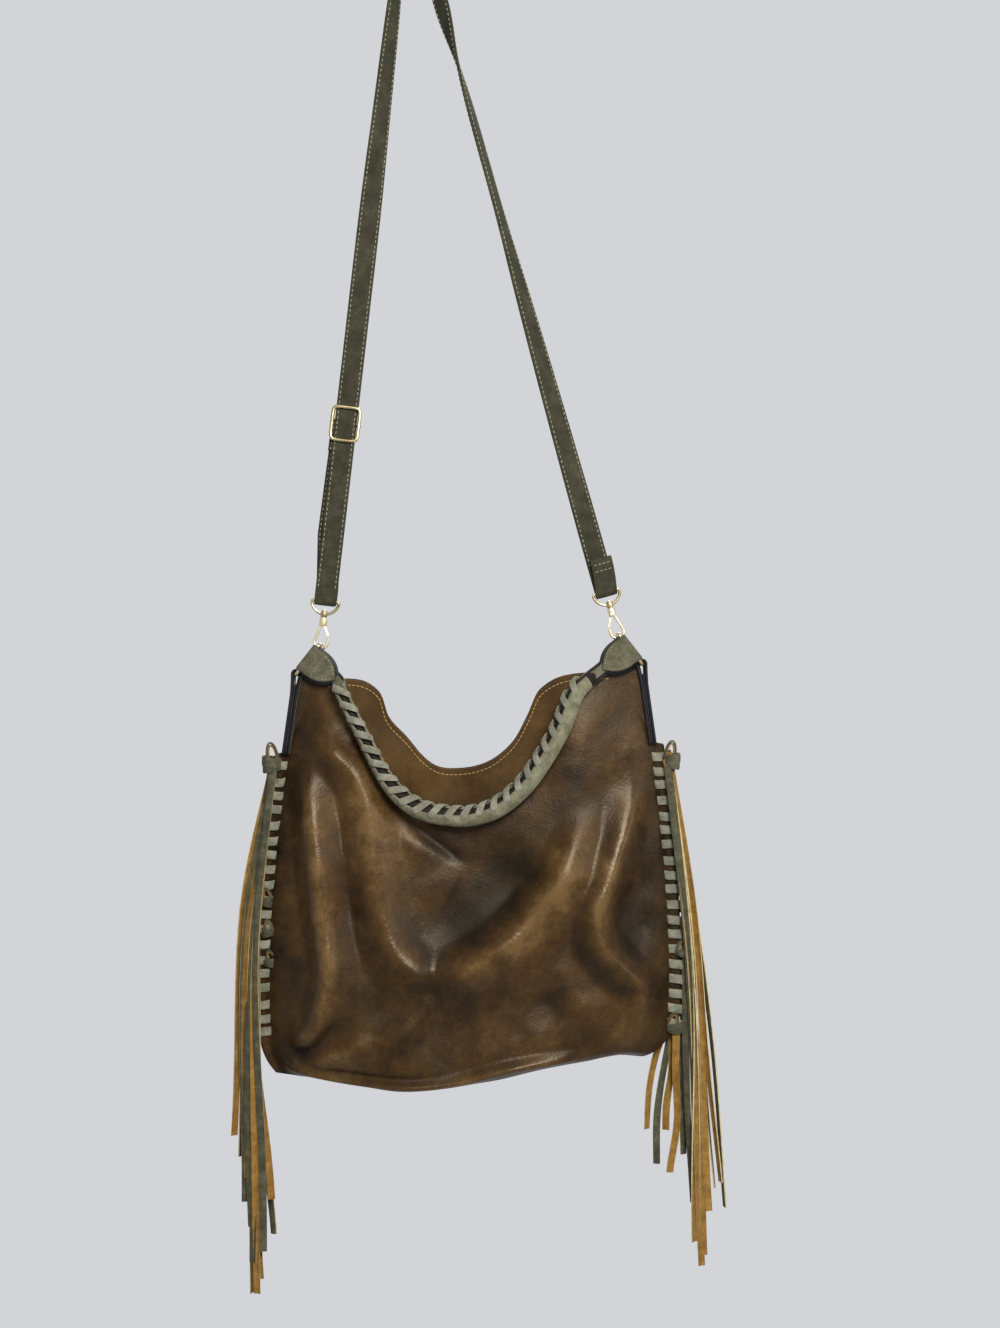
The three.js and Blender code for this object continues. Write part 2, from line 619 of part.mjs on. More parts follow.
// A panel: one sheet of leather, thickened inwards.
function panel(facing, rimDip, rimDrop) {
  const marginShare = MARGIN / (RING_SPACING + 2 * (SIDE_FLARE + MARGIN));
  const half = [0, marginShare, 0.05, 0.085, 0.125, 0.17, 0.22, 0.265, 0.31, 0.36, 0.41, 0.455];
  const us = [...half, 0.5, ...half.map((u) => 1 - u).reverse()];
  const shoulderShare = (SHOULDER - CORNER_DROP) / (BAG_DROP - CORNER_DROP);
  const overShare = SHOULDER_ROUND / (BAG_DROP - CORNER_DROP);
  const lower = [0.26, 0.36, 0.47, 0.58, 0.69, 0.79, 0.87, 0.93, 0.965, 0.985, 1];
  const rows = [0, 0.06, 0.12, shoulderShare, shoulderShare + overShare, ...lower];
  const vs = splitTall(rows, ROW_MOST / (BAG_DROP - CORNER_DROP));
  const at = (u, v) => panelPoint(u, v, facing, rimDip, rimDrop);
  const step = 0.004;
  const outer = [];
  const inner = [];
  for (const v of vs) {
    for (const u of us) {
      const place = at(u, v);
      const sideways = at(Math.min(u + step, 1), v).sub(at(Math.max(u - step, 0), v));
      const downwards = at(u, Math.min(v + step, 1)).sub(at(u, Math.max(v - step, 0)));
      const normal = sideways.cross(downwards).normalize();
      if (normal.y * facing < 0) normal.negate();
      const behind = place.clone().addScaledVector(normal, -LEATHER);
      const nearest = BAG_Y + (facing * SEAM_GAP) / 2;
      behind.y = facing < 0 ? Math.min(behind.y, nearest) : Math.max(behind.y, nearest);
      outer.push(place);
      inner.push(behind);
    }
  }
  const n = us.length;
  const m = vs.length;
  const back = outer.length;
  const index = [];
  const quad = (a, b, c, d) => index.push(a, b, c, a, c, d);
  for (let i = 0; i < m - 1; i += 1) {
    for (let k = 0; k < n - 1; k += 1) {
      const a = i * n + k;
      quad(a, a + 1, a + n + 1, a + n);
      quad(back + a, back + a + n, back + a + n + 1, back + a + 1);
    }
    quad(i * n, (i + 1) * n, back + (i + 1) * n, back + i * n);
    const e = i * n + n - 1;
    quad(e, back + e, back + e + n, e + n);
  }
  for (let k = 0; k < n - 1; k += 1) {
    quad(k, back + k, back + k + 1, k + 1);
    const e = (m - 1) * n + k;
    quad(e, e + 1, back + e + 1, back + e);
  }
  let made = solid(geometryFrom([...outer, ...inner], index));
  for (const side of Object.values(sides)) {
    for (const slot of laceSlots(side)) made = made.subtract(solid(slotCutter(slot)));
  }
  return geometryOf(made);
}

// Places along the laced margin, each with its downward and outward directions.
function marginAt(side, drop) {
  const point = (d) => vec(side.ring.x + side.out * edgeOut(d), BAG_Y, side.ring.z - d);
  const down = point(drop + 1).sub(point(drop - 1)).normalize();
  const outwardWay = vec(-down.z * side.out, 0, down.x * side.out);
  return { place: point(drop), down, out: outwardWay };
}

function laceSlots(side) {
  const turns = Math.floor((LACE_BOTTOM - LACE_TOP) / LACE_PITCH);
  return Array.from({ length: turns + 1 }, (_, i) => marginAt(side, LACE_TOP + i * LACE_PITCH));
}

function slotCutter({ place, down, out }) {
  const size = new THREE.BoxGeometry(LACE_THICK + 2 * SLOT_EASE, 8 * LEATHER, LACE_WIDTH + 2 * SLOT_EASE);
  size.rotateY(Math.atan2(down.x, down.z));
  const at = place.clone().addScaledVector(out, -LACE_INSET);
  return size.translate(at.x, at.y, at.z);
}

// The lace: up through a slot, over the front, round the margin's edge, and back to the next slot.
const LACE_LIFT = SEAM_GAP / 2 + LEATHER + GAP + LACE_THICK / 2;

function sideLace(side) {
  const slots = laceSlots(side);
  const edge = GAP + LACE_THICK / 2;
  const stations = [];
  const add = ({ place, down, out }, reach, depth) => {
    const at = place.clone().addScaledVector(out, reach);
    at.y += depth * LACE_LIFT;
    const up = out.clone().multiplyScalar(Math.sign(reach)).add(vec(0, depth, 0));
    stations.push({ place: at, across: down, up });
  };
  slots.forEach((slot, i) => {
    const drop = LACE_TOP + (i + 0.5) * LACE_PITCH;
    const turn = marginAt(side, drop);
    add(slot, -LACE_INSET, -1);
    add(turn, edge, -1);
    add(turn, edge, 1);
    if (i < slots.length - 1) add(slots[i + 1], -LACE_INSET, 1);
  });
  return sweep(stations, flatOutline(LACE_WIDTH, LACE_THICK));
}

// Handle: its middle line from tab to tab, hanging in front of the front panel.
function tabInward(side) {
  return vec(-side.out * Math.sin(RING_TILT), 0, -Math.cos(RING_TILT));
}

const TAB_MIDDLE = RING_LENGTH / 2 - TAB_TO_HOOK;

function tabPlace(side, reach) {
  const lengthways = vec(side.out * Math.cos(RING_TILT), 0, -Math.sin(RING_TILT));
  const place = side.ring.clone().addScaledVector(lengthways, TAB_MIDDLE);
  place.addScaledVector(tabInward(side), reach);
  place.y = BAG_Y - RING_BREADTH / 2;
  return place;
}

const handleLine = (() => {
  const { left, right } = sides;
  const hang = (x, drop, front) => vec(x, -front * HANDLE_FRONT, left.ring.z - drop * HANDLE_DROP);
  const leaving = [[19.56, 0.268, 0.7], [39.4, 0.522, 0.92]];
  const arriving = [[53.6, 0.505, 0.92], [37.79, 0.268, 0.7]];
  const low = [
    [0.234, 0.8], [0.294, 0.913], [0.355, 0.972], [0.44, 1], [0.506, 1],
    [0.583, 0.96], [0.647, 0.883], [0.704, 0.777],
  ];
  const middle = [
    ...leaving.map(([x, drop, front]) => hang(left.ring.x + x, drop, front)),
    ...low.map(([share, drop]) => hang(left.ring.x + share * RING_SPACING, drop, 1)),
    ...arriving.map(([x, drop, front]) => hang(right.ring.x - x, drop, front)),
  ];
  const ends = (side) => [0.42, 0.7, 1].map((share) => tabPlace(side, TAB_LENGTH * share));
  return new THREE.CatmullRomCurve3([...ends(left), ...middle, ...ends(right).reverse()]);
})();

function handleStation(share) {
  const place = handleLine.getPointAt(share);
  const forward = handleLine.getTangentAt(share);
  const across = forward.clone().cross(vec(0, 1, 0)).normalize();
  return { place, forward, across, up: across.clone().cross(forward).normalize() };
}

function handleCore() {
  const length = handleLine.getLength();
  const steps = Math.round(length / CORE_STEP);
  const taper = along([
    [CORE_FLAT, 0], [SLEEVE_INSET, 1], [length - SLEEVE_INSET, 1], [length - CORE_FLAT, 0],
  ]);
  const outline = roundOutline(1);
  const sections = Array.from({ length: steps + 1 }, (_, i) => {
    const share = i / steps;
    const { place, across, up } = handleStation(share);
    const round = taper(share * length);
    const wide = lerp(CORE_END_WIDTH / 2, CORE_RADIUS, round);
    const thick = lerp(CORE_END_THICK / 2, CORE_RADIUS, round);
    return outline.map((p) => {
      const sideways = place.clone().addScaledVector(across, p.x * wide);
      return sideways.addScaledVector(up, p.y * thick);
    });
  });
  return loft(sections, outline, false);
}

// The lace wound round the core, which shows in the sleeve's open seam.
const HANDLE_LACE_RADIUS = CORE_RADIUS + 2.5 * GAP + HANDLE_LACE_THICK / 2;
const SLEEVE_INNER = HANDLE_LACE_RADIUS + HANDLE_LACE_THICK / 2 + 2.5 * GAP;

function handleLace() {
  const length = handleLine.getLength();
  const from = SLEEVE_INSET + HANDLE_LACE_WIDTH;
  const turns = Math.floor((length - 2 * from) / HANDLE_PITCH);
  const perTurn = 8;
  const stations = Array.from({ length: turns * perTurn + 1 }, (_, i) => {
    const { place, forward, across, up } = handleStation((from + (i / perTurn) * HANDLE_PITCH) / length);
    const angle = (i / perTurn) * 2 * Math.PI;
    const radial = across.multiplyScalar(Math.cos(angle)).addScaledVector(up, Math.sin(angle));
    return { place: place.addScaledVector(radial, HANDLE_LACE_RADIUS), across: forward, up: radial };
  });
  return sweep(stations, flatOutline(HANDLE_LACE_WIDTH, HANDLE_LACE_THICK));
}

// The sleeve: a suede tube that is open along its laced seam; the seam turns from the front to the top.
const seamFacing = through([[0, -82], [0.3, -68], [0.45, -35], [0.6, -22], [1, -16]]);

function handleSleeve() {
  const length = handleLine.getLength();
  const covered = length - 2 * SLEEVE_INSET;
  const steps = Math.round(covered / SLEEVE_STEP);
  const ribs = 8;
  const arcAngle = (i) => SLEEVE_SEAM / 2 + (i / ribs) * (2 * Math.PI - SLEEVE_SEAM);
  const outline = [];
  for (let i = 0; i <= ribs; i += 1) {
    const angle = arcAngle(i);
    const radius = SLEEVE_INNER + SLEEVE_WALL;
    outline.push(new THREE.Vector2(radius * Math.cos(angle), radius * Math.sin(angle)));
  }
  for (let i = ribs; i >= 0; i -= 1) {
    const angle = arcAngle(i);
    outline.push(new THREE.Vector2(SLEEVE_INNER * Math.cos(angle), SLEEVE_INNER * Math.sin(angle)));
  }
  const stations = Array.from({ length: steps + 1 }, (_, i) => {
    const share = (SLEEVE_INSET + (covered * i) / steps) / length;
    const { place, across, up } = handleStation(share);
    const turn = THREE.MathUtils.degToRad(seamFacing(share));
    const seamWay = across.clone().multiplyScalar(Math.cos(turn)).addScaledVector(up, Math.sin(turn));
    const beside = up.clone().multiplyScalar(Math.cos(turn)).addScaledVector(across, -Math.sin(turn));
    return { place, across: seamWay, up: beside };
  });
  return sweep(stations, outline);
}

// Fringe strips: [place, layer, hitch, bow and end outward, length]. The place is a distance below the
// shoulder, or above the body's bottom where it is below zero. Outward is from the margin's edge at the
// hitch. Layers count away from the lace, in front below zero.
const FRINGE = {
  left: [
    [5.4, -1, 0.4, 29.4, 35.4, 335], [6.5, -2, 1.3, 25.3, 27.3, 393], [7.4, -3, -0.8, 23.2, 24.2, 370],
    [8.5, -4, 1, 21, 20, 412], [9.4, -5, -1.1, 18.9, 14.9, 442], [10.5, -6, -0.2, 16.8, 11.8, 469],
    [11.4, -7, -0.4, 14.6, 6.6, 430], [5.4, 1, 1.4, 27.4, 30.4, 356], [7.4, 2, 0.2, 22.2, 18.2, 478],
    [123.4, -1, 3.2, 3.2, -0.8, 346], [151.3, 1, 2.4, 1.4, -9.6, 281], [178.3, -2, 2.3, 0.3, -12.7, 219],
  ],
  right: [
    [3.4, -1, 2.7, 30.7, 56.7, 410], [5.4, -2, 3.4, 28.4, 48.4, 386], [7.4, -3, 1.2, 26.2, 40.2, 409],
    [9.4, -4, 1.9, 23.9, 35.9, 446], [11.4, -5, 0.6, 21.6, 32.6, 453], [15.4, -6, 1.1, 19.1, 26.1, 427],
    [4.6, 1, 2.6, 29.6, 44.6, 395], [9.4, 2, 0.9, 23.9, 29.9, 420], [152.4, -1, 4.4, 5.4, 10.4, 258],
    [176.3, 1, 3.4, 3.4, 1.4, 193], [-33, -1, -2.9, -2.9, -5.9, 131], [-31, 1, -4.8, -6.8, -11.8, 94],
    [-35, 2, -5.1, -15.1, -21.1, 129], [-38.1, 3, -9.3, -22.3, -29.3, 101],
  ],
};
const FRINGE_BOW = 0.42;
const FRINGE_FIRST = LACE_LIFT + LACE_THICK / 2 + GAP + FRINGE_THICK / 2;

function fringeStrip(side, [hang, layer, hitch, bow, end, length]) {
  const from = hang < 0 ? BAG_DROP + hang : SHOULDER + hang;
  const to = from + length;
  const edge = edgeOut(from);
  const shape = [[from, hitch], [lerp(from, to, FRINGE_BOW), bow], [to, end]];
  const outAt = through(shape.map(([drop, out]) => [drop, edge + out]));
  const lift = FRINGE_FIRST + (Math.abs(layer) - 1) * (FRINGE_THICK + GAP);
  const depth = BAG_Y + Math.sign(layer) * lift;
  const steps = 7;
  const points = Array.from({ length: steps + 1 }, (_, i) => {
    const drop = lerp(from, to, i / steps);
    return vec(side.ring.x + side.out * outAt(drop), depth, side.ring.z - drop);
  });
  return sweep(planarStations(points, vec(0, 1, 0)), flatOutline(FRINGE_WIDTH, FRINGE_THICK));
}

// Assembly.
function snapHook(side) {
  const inner = -side.out;
  const group = new THREE.Group();
  group.position.copy(side.bar);
  group.rotation.y = side.lean;
  group.add(mesh(`${side.name}_d_ring`, dRing(), "gold"));
  group.add(mesh(`${side.name}_swivel_rivet`, swivelRivet(), "gold"));
  group.add(mesh(`${side.name}_hook`, hookBody(inner), "gold"));
  group.add(mesh(`${side.name}_gate`, hookGate(inner), "gold"));
  group.add(mesh(`${side.name}_gate_pin`, gatePin(inner), "gold"));
  return group;
}

function corner(side) {
  const group = new THREE.Group();
  group.position.copy(side.ring);
  group.rotation.y = side.out < 0 ? Math.PI - RING_TILT : RING_TILT;
  group.add(mesh(`${side.name}_ring`, bagRing(), "gold"));
  const tab = mesh(`${side.name}_handle_tab`, handleTab(), "suede");
  tab.position.set(TAB_MIDDLE, -RING_BREADTH / 2, 0);
  tab.rotation.x = side.out < 0 ? Math.PI : 0;
  group.add(tab);
  const strap = mesh(`${side.name}_side_strap`, sideStrap(), "edge");
  strap.position.set(RING_LENGTH, 0, 0);
  strap.rotation.y = -side.out * SIDE_STRAP_LEAN - group.rotation.y;
  group.add(strap);
  return group;
}

function adjuster(side) {
  const group = new THREE.Group();
  group.position.set(side.bar.x, BAG_Y - WRAP, side.bar.z);
  group.rotation.y = side.lean;
  const slider = mesh("slider_buckle", sliderBuckle(), "gold");
  slider.position.z = SLIDER_UP;
  group.add(slider);
  group.add(mesh("strap_adjust_run", strapAdjustRun(), "strap"));
  return group;
}

const bag = new THREE.Group();
bag.add(mesh("crossbody_strap", crossbodyStrap(), "strap"));
bag.add(adjuster(sides.left));
bag.add(mesh("front_panel", panel(-1, frontRimDip, FRONT_RIM_DROP), "leather"));
bag.add(mesh("back_panel", panel(1, backRimDip, BACK_RIM_DROP), "leather"));
bag.add(mesh("handle_core", handleCore(), "edge"));
bag.add(mesh("handle_lace", handleLace(), "suede"));
bag.add(mesh("handle_sleeve", handleSleeve(), "suede"));
for (const side of Object.values(sides)) {
  bag.add(snapHook(side));
  bag.add(corner(side));
  bag.add(mesh(`${side.name}_side_lace`, sideLace(side), "suede"));
  FRINGE[side.name].forEach((strip, i) => {
    const number = String(i + 1).padStart(2, "0");
    bag.add(mesh(`${side.name}_fringe_${number}`, fringeStrip(side, strip), "fringe"));
  });
}

export default bag;
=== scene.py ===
# %% [markdown]
# A slouchy leather-look hobo bag with laced sides and a two-tone fringe hangs by its long strap.
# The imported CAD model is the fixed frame: it gives every body, joint and size. This lesson dresses
# that frame. Lengths in the code are millimetres unless a name says otherwise, because that is how
# a maker measures such a bag; one factor turns them to Blender's metres at the very end of each piece.

# %% Load the frame
import math
import random

import bpy
import numpy as np
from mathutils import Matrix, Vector


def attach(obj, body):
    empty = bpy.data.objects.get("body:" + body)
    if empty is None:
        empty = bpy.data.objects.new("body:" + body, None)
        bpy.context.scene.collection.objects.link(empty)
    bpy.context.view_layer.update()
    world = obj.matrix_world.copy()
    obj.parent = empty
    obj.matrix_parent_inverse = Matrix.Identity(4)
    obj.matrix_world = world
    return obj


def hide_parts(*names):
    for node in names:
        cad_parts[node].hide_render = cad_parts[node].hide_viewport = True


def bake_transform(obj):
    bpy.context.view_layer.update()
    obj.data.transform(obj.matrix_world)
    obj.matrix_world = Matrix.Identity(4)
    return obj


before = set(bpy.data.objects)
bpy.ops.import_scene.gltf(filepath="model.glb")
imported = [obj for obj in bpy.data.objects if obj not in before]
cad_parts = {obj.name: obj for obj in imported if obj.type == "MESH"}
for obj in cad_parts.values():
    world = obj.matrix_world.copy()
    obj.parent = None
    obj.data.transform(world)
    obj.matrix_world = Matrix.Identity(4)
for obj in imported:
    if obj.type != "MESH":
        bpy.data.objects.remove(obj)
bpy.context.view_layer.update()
scene = bpy.context.scene
METRE = 0.001

# %% [markdown]
# The photograph looks straight at the bag from chest height. One photo pixel is 0.9 mm in the plane
# of the strap, and the frame's origin lies a little above the photo's top edge, where the strap goes
# over what holds it. A helper turns a place in the photo into millimetres in that plane, so that lines
# can be read off the photo and used as they are.

# %% Camera
PIXEL = 0.9
ORIGIN_PIXEL = (412, -72)
PHOTO_MIDDLE = (500, 664)


def spot(x, y):
    """A photo place, in pixels, as millimetres to the right and up."""
    return ((x - ORIGIN_PIXEL[0]) * PIXEL, (ORIGIN_PIXEL[1] - y) * PIXEL)


def camera(distance, lens):
    middle = spot(*PHOTO_MIDDLE)
    data = bpy.data.cameras.new("camera")
    data.lens = lens
    data.sensor_width = 36
    made = bpy.data.objects.new("camera", data)
    made.location = (middle[0] * METRE, -distance, middle[1] * METRE)
    made.rotation_euler = (math.radians(90), 0, 0)
    scene.collection.objects.link(made)
    scene.camera = made


camera(distance=1.5, lens=45.2)
print("camera at", tuple(round(v, 3) for v in scene.camera.location))

# %% [markdown]
# Two small helpers serve every material. One turns a written colour into the linear numbers that
# shaders use, and one adds a node and links or sets its inputs.

# %% Colours and nodes
def linear(hex_colour):
    """A written sRGB colour as the linear numbers that shaders use."""
    parts = [int(hex_colour[i : i + 2], 16) / 255 for i in (1, 3, 5)]
    flat = [c / 12.92 if c <= 0.04045 else ((c + 0.055) / 1.055) ** 2.4 for c in parts]
    return (*flat, 1.0)


def node(tree, kind, inputs=None, **settings):
    """Adds a shader node with its settings; an input is a value, or an output or a node to link."""
    made = tree.nodes.new("ShaderNode" + kind)
    for key, value in settings.items():
        setattr(made, key, value)
    for key, value in (inputs or {}).items():
        if isinstance(value, bpy.types.Node):
            value = value.outputs[0]
        if isinstance(value, bpy.types.NodeSocket):
            tree.links.new(value, made.inputs[key])
        else:
            made.inputs[key].default_value = value
    return made


print("mid grey in linear light:", round(linear("#808080")[0], 3))

# %% [markdown]
# The studio is plain: a soft key lamp above and in front, a weak one from the right, one from behind,
# and an even grey sky that fills the shadows. The sky gives little light, so that the folds keep their
# shade. The camera and the shiny surfaces see it brighter, as a light grey.

# %% Studio
SKY_LIGHT = 0.21
SKY_SEEN = 1.0
BAG_MIDDLE = (0.05, 0, -0.8)


def studio():
    scene.view_settings.view_transform = "Standard"
    world = bpy.data.worlds.new("studio_sky")
    world.use_nodes = True
    tree = world.node_tree
    tree.nodes.clear()
    rays = node(tree, "LightPath").outputs
    seen = rays["Is Camera Ray"]
    for ray in ("Is Glossy Ray", "Is Transmission Ray"):
        seen = node(tree, "Math", {0: seen, 1: rays[ray]}, operation="MAXIMUM")
    strength = node(tree, "MapRange", {0: seen, 3: SKY_LIGHT, 4: SKY_SEEN})
    sky = node(tree, "Background", {"Color": linear("#D3D4D8"), "Strength": strength})
    node(tree, "OutputWorld", {"Surface": sky})
    scene.world = world


def lamp(name, power, size, place):
    """A rectangular lamp that looks at the bag's middle."""
    data = bpy.data.lights.new(name, "AREA")
    data.energy = power
    data.shape = "RECTANGLE"
    data.size, data.size_y = size
    made = bpy.data.objects.new(name, data)
    made.location = place
    made.rotation_euler = (Vector(BAG_MIDDLE) - Vector(place)).to_track_quat("-Z", "Y").to_euler()
    scene.collection.objects.link(made)


studio()
lamp("key_lamp", 36, (0.5, 0.6), (0.38, -1.5, 0.06))
lamp("side_lamp", 7, (0.5, 0.9), (1.6, -1.1, -0.3))
lamp("back_lamp", 24, (1.2, 1.2), (0.3, 1.7, 0.5))

# %% [markdown]
# Points are rows of three numbers, so that a whole line or sheet can be worked out at once. One helper
# turns such points and their faces into a mesh object.

# %% Points and meshes
def v3(x, y, z):
    return np.array([x, y, z], float)


DEEP = v3(0, 1, 0)
HIGH = v3(0, 0, 1)


def unit(v):
    v = np.asarray(v, float)
    return v / np.maximum(np.linalg.norm(v, axis=-1, keepdims=True), 1e-12)


def make(name, points, faces, materials, uv=None, slots=None):
    """A mesh object from points in millimetres; uv is a pair per point and slots a number per face."""
    mesh = bpy.data.meshes.new(name)
    mesh.from_pydata([tuple(p) for p in np.asarray(points) * METRE], [], faces)
    if slots is not None:
        mesh.polygons.foreach_set("material_index", slots)
    mesh.polygons.foreach_set("use_smooth", [True] * len(mesh.polygons))
    if uv is not None:
        layer = mesh.uv_layers.new(name="UVMap")
        corner = np.zeros(len(mesh.loops), np.int32)
        mesh.loops.foreach_get("vertex_index", corner)
        layer.data.foreach_set("uv", np.asarray(uv, np.float32)[corner].ravel())
    made = bpy.data.objects.new(name, mesh)
    scene.collection.objects.link(made)
    for material in materials:
        mesh.materials.append(material)
    return made


print("a way of length one:", unit(v3(3, 0, 4)))

# %% [markdown]
# A few helpers work on whole pieces, with the operators that one would use by hand: select a piece,
# apply its modifiers, turn its faces outwards and join several into one. The last one puts a finished
# piece on its body and hides the CAD solids that it stands for.

# %% Piece helpers
def select_only(obj):
    bpy.ops.object.select_all(action="DESELECT")
    obj.select_set(True)
    bpy.context.view_layer.objects.active = obj


def apply_modifiers(obj):
    select_only(obj)
    for name in [m.name for m in obj.modifiers]:
        bpy.ops.object.modifier_apply(modifier=name)


def outward(obj):
    """Turns the faces of a closed shape outwards."""
    select_only(obj)
    bpy.ops.object.mode_set(mode="EDIT")
    bpy.ops.mesh.select_all(action="SELECT")
    bpy.ops.mesh.normals_make_consistent(inside=False)
    bpy.ops.object.mode_set(mode="OBJECT")
    return obj


def joined(name, parts):
    """Several meshes as one object with one name."""
    select_only(parts[0])
    for part in parts[1:]:
        part.select_set(True)
    bpy.ops.object.join()
    parts[0].name = parts[0].data.name = name
    return parts[0]


def finish(obj, body, slot, *nodes):
    """Puts a piece on its body and hides the CAD solids that it stands for; slot, its finish, is not used."""
    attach(obj, body)
    if nodes:
        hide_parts(*nodes)
    return obj


print("CAD solids to dress:", len(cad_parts))

# %% [markdown]
# Lines come next. A smooth line goes through a few places and is then walked in even steps. The same
# walk finds the place, or any other value, at a distance along a line, and the headings tell which way
# the line goes at each of its places.

# %% Lines through places
def lengths(points):
    steps = np.linalg.norm(np.diff(points, axis=0), axis=1)
    return np.concatenate([[0], np.cumsum(steps)])


def walked(at, run, values):
    """The rows of values at distances along a line whose places lie at the distances in run."""
    return np.stack([np.interp(at, run, values[:, k]) for k in range(3)], -1)


def headings(places, closed=False):
    before = np.roll(places, 1, 0)
    after = np.roll(places, -1, 0)
    if not closed:
        before[0], after[-1] = places[0], places[-1]
    return unit(after - before)


def between(a, b, start, stop, t):
    """The place at time t on the way from a, left at start, to b, reached at stop."""
    return (stop - t) / (stop - start) * a + (t - start) / (stop - start) * b


def smooth_span(four, steps=24):
    """The curve between the middle two of four points, bent by the outer two (centripetal Catmull-Rom)."""
    gaps = [max(np.linalg.norm(b - a), 1e-6) ** 0.5 for a, b in zip(four[:-1], four[1:])]
    times = np.cumsum([0, *gaps])
    t = np.linspace(times[1], times[2], steps, endpoint=False)[:, None]
    legs = [between(four[i], four[i + 1], times[i], times[i + 1], t) for i in range(3)]
    bends = [between(legs[i], legs[i + 1], times[i], times[i + 2], t) for i in range(2)]
    return between(*bends, times[1], times[2], t)


def smooth_line(points, count):
    """A smooth line through a few points, as evenly spaced places."""
    points = np.asarray(points, float)
    ghost = np.vstack([2 * points[0] - points[1], points, 2 * points[-1] - points[-2]])
    spans = [smooth_span(ghost[i - 1 : i + 3]) for i in range(1, len(ghost) - 2)]
    fine = np.vstack([*spans, points[-1:]])
    run = lengths(fine)
    return walked(np.linspace(0, run[-1], count), run, fine)


corner = smooth_line([v3(0, 0, 0), v3(10, 0, 0), v3(10, 0, 10)], 60)
print("a smooth line round a corner of 10 and 10 mm:", lengths(corner)[-1].round(1), "mm")

# %% [markdown]
# Most of this bag is bands: strap, laces, fringe, handle. Blender could bevel a curve for each, but a
# curve gives little say over twist, changing width and painted edges. So a helper sweeps a flat outline
# along a line. The outlines are a disc and a strap's flat section with rounded edges.

# %% Outlines
def disc(radius, sides):
    turn = np.arange(sides) * 2 * math.pi / sides
    return np.stack([radius * np.cos(turn), radius * np.sin(turn)], 1)


def band(width, thick, edge, crown=0.0):
    """A flat strap's outline with rounded edges; crown lifts the middle of both faces."""
    w, t, e = width / 2, thick / 2, min(edge, thick / 2)
    rise = ((-w + e, 0), (-w * 0.6, 0.7), (0, 1), (w * 0.6, 0.7), (w - e, 0))
    face = [(x, t + crown * share) for x, share in rise]
    turn = [(w - e * (1 - math.sin(a)), t - e * (1 - math.cos(a))) for a in (math.pi / 4, math.pi / 2)]
    top = face + turn
    return np.array(top + [(-x, -y) for x, y in top])


print("points round a strap's outline:", len(band(20, 2.4, 0.8)))

# %% [markdown]
# A sweep needs the way across the band at each place. The way up is square to that and to the line,
# unless it is given. The length and the way round are kept in a UV map.

# %% Sweeps
def sweep_arrays(places, across, outline, up=None, closed=False):
    """Points, faces and UV of an outline carried along places, with flat ends unless it is closed."""
    across = np.broadcast_to(across, places.shape)
    if up is None:
        up = unit(np.cross(across, headings(places, closed)))
    up = np.broadcast_to(up, places.shape)
    outline = np.asarray(outline, float)
    if outline.ndim == 2:
        outline = np.broadcast_to(outline, (len(places), *outline.shape))
    count, n = len(places), outline.shape[1]
    points = places[:, None] + across[:, None] * outline[..., :1] + up[:, None] * outline[..., 1:]
    around = lengths(np.vstack([outline[0], outline[0][:1]]))[:n]
    run = lengths(places)
    uv = np.stack(np.broadcast_arrays(run[:, None] * METRE, around[None] * METRE), -1)
    faces = []
    for i in range(count if closed else count - 1):
        j = (i + 1) % count
        for k in range(n):
            m = (k + 1) % n
            faces.append((i * n + k, j * n + k, j * n + m, i * n + m))
    if not closed:
        faces.append(tuple(range(n)))
        faces.append(tuple(reversed(range((count - 1) * n, count * n))))
    return points.reshape(-1, 3), faces, uv.reshape(-1, 2)


def sweep(name, places, across, outline, material, up=None, closed=False):
    points, faces, uv = sweep_arrays(places, across, outline, up, closed)
    return outward(make(name, points, faces, [material], uv))


ribbon = sweep_arrays(corner, DEEP, band(6, 1, 0.4))
print("a ribbon round that corner:", len(ribbon[0]), "points,", len(ribbon[1]), "faces")

# %% [markdown]
# Values that change smoothly come in one form: a curve through a few place-and-value pairs, level
# beyond both ends. The CAD source shapes the strap's twist, the bag's outline and the fringe with
# the same curve, so the pieces below lie exactly where their solids lie.

# %% Smooth curves through pairs
def mix(a, b, share):
    return a + (b - a) * share


def ease(share):
    """A share from 0 to 1 that starts and stops gently."""
    return share * share * (3 - 2 * share)


def through(pairs):
    at = np.array([p[0] for p in pairs], float)
    value = np.array([p[1] for p in pairs], float)
    low = np.maximum(np.arange(len(at)) - 1, 0)
    high = np.minimum(np.arange(len(at)) + 1, len(at) - 1)
    slope = (value[high] - value[low]) / (at[high] - at[low])

    def curve(place):
        t = np.clip(place, at[0], at[-1])
        i = np.clip(np.searchsorted(at, t, side="left") - 1, 0, len(at) - 2)
        span = at[i + 1] - at[i]
        s = (t - at[i]) / span
        leaving = slope[i] * span * s * (1 - s) ** 2
        arriving = slope[i + 1] * span * s * s * (1 - s)
        return value[i] * ease(1 - s) + value[i + 1] * ease(s) + leaving - arriving

    return curve


print("half-way up a smooth step:", through([(0, 0), (1, 1)])(0.5))

# %% [markdown]
# The bag's own sizes, as in the CAD source. The two rings carry everything: a snap hook pulls each
# one up along its strap leg, the handle's tab folds round its front bar, and the black side strap
# folds round its lower bar.

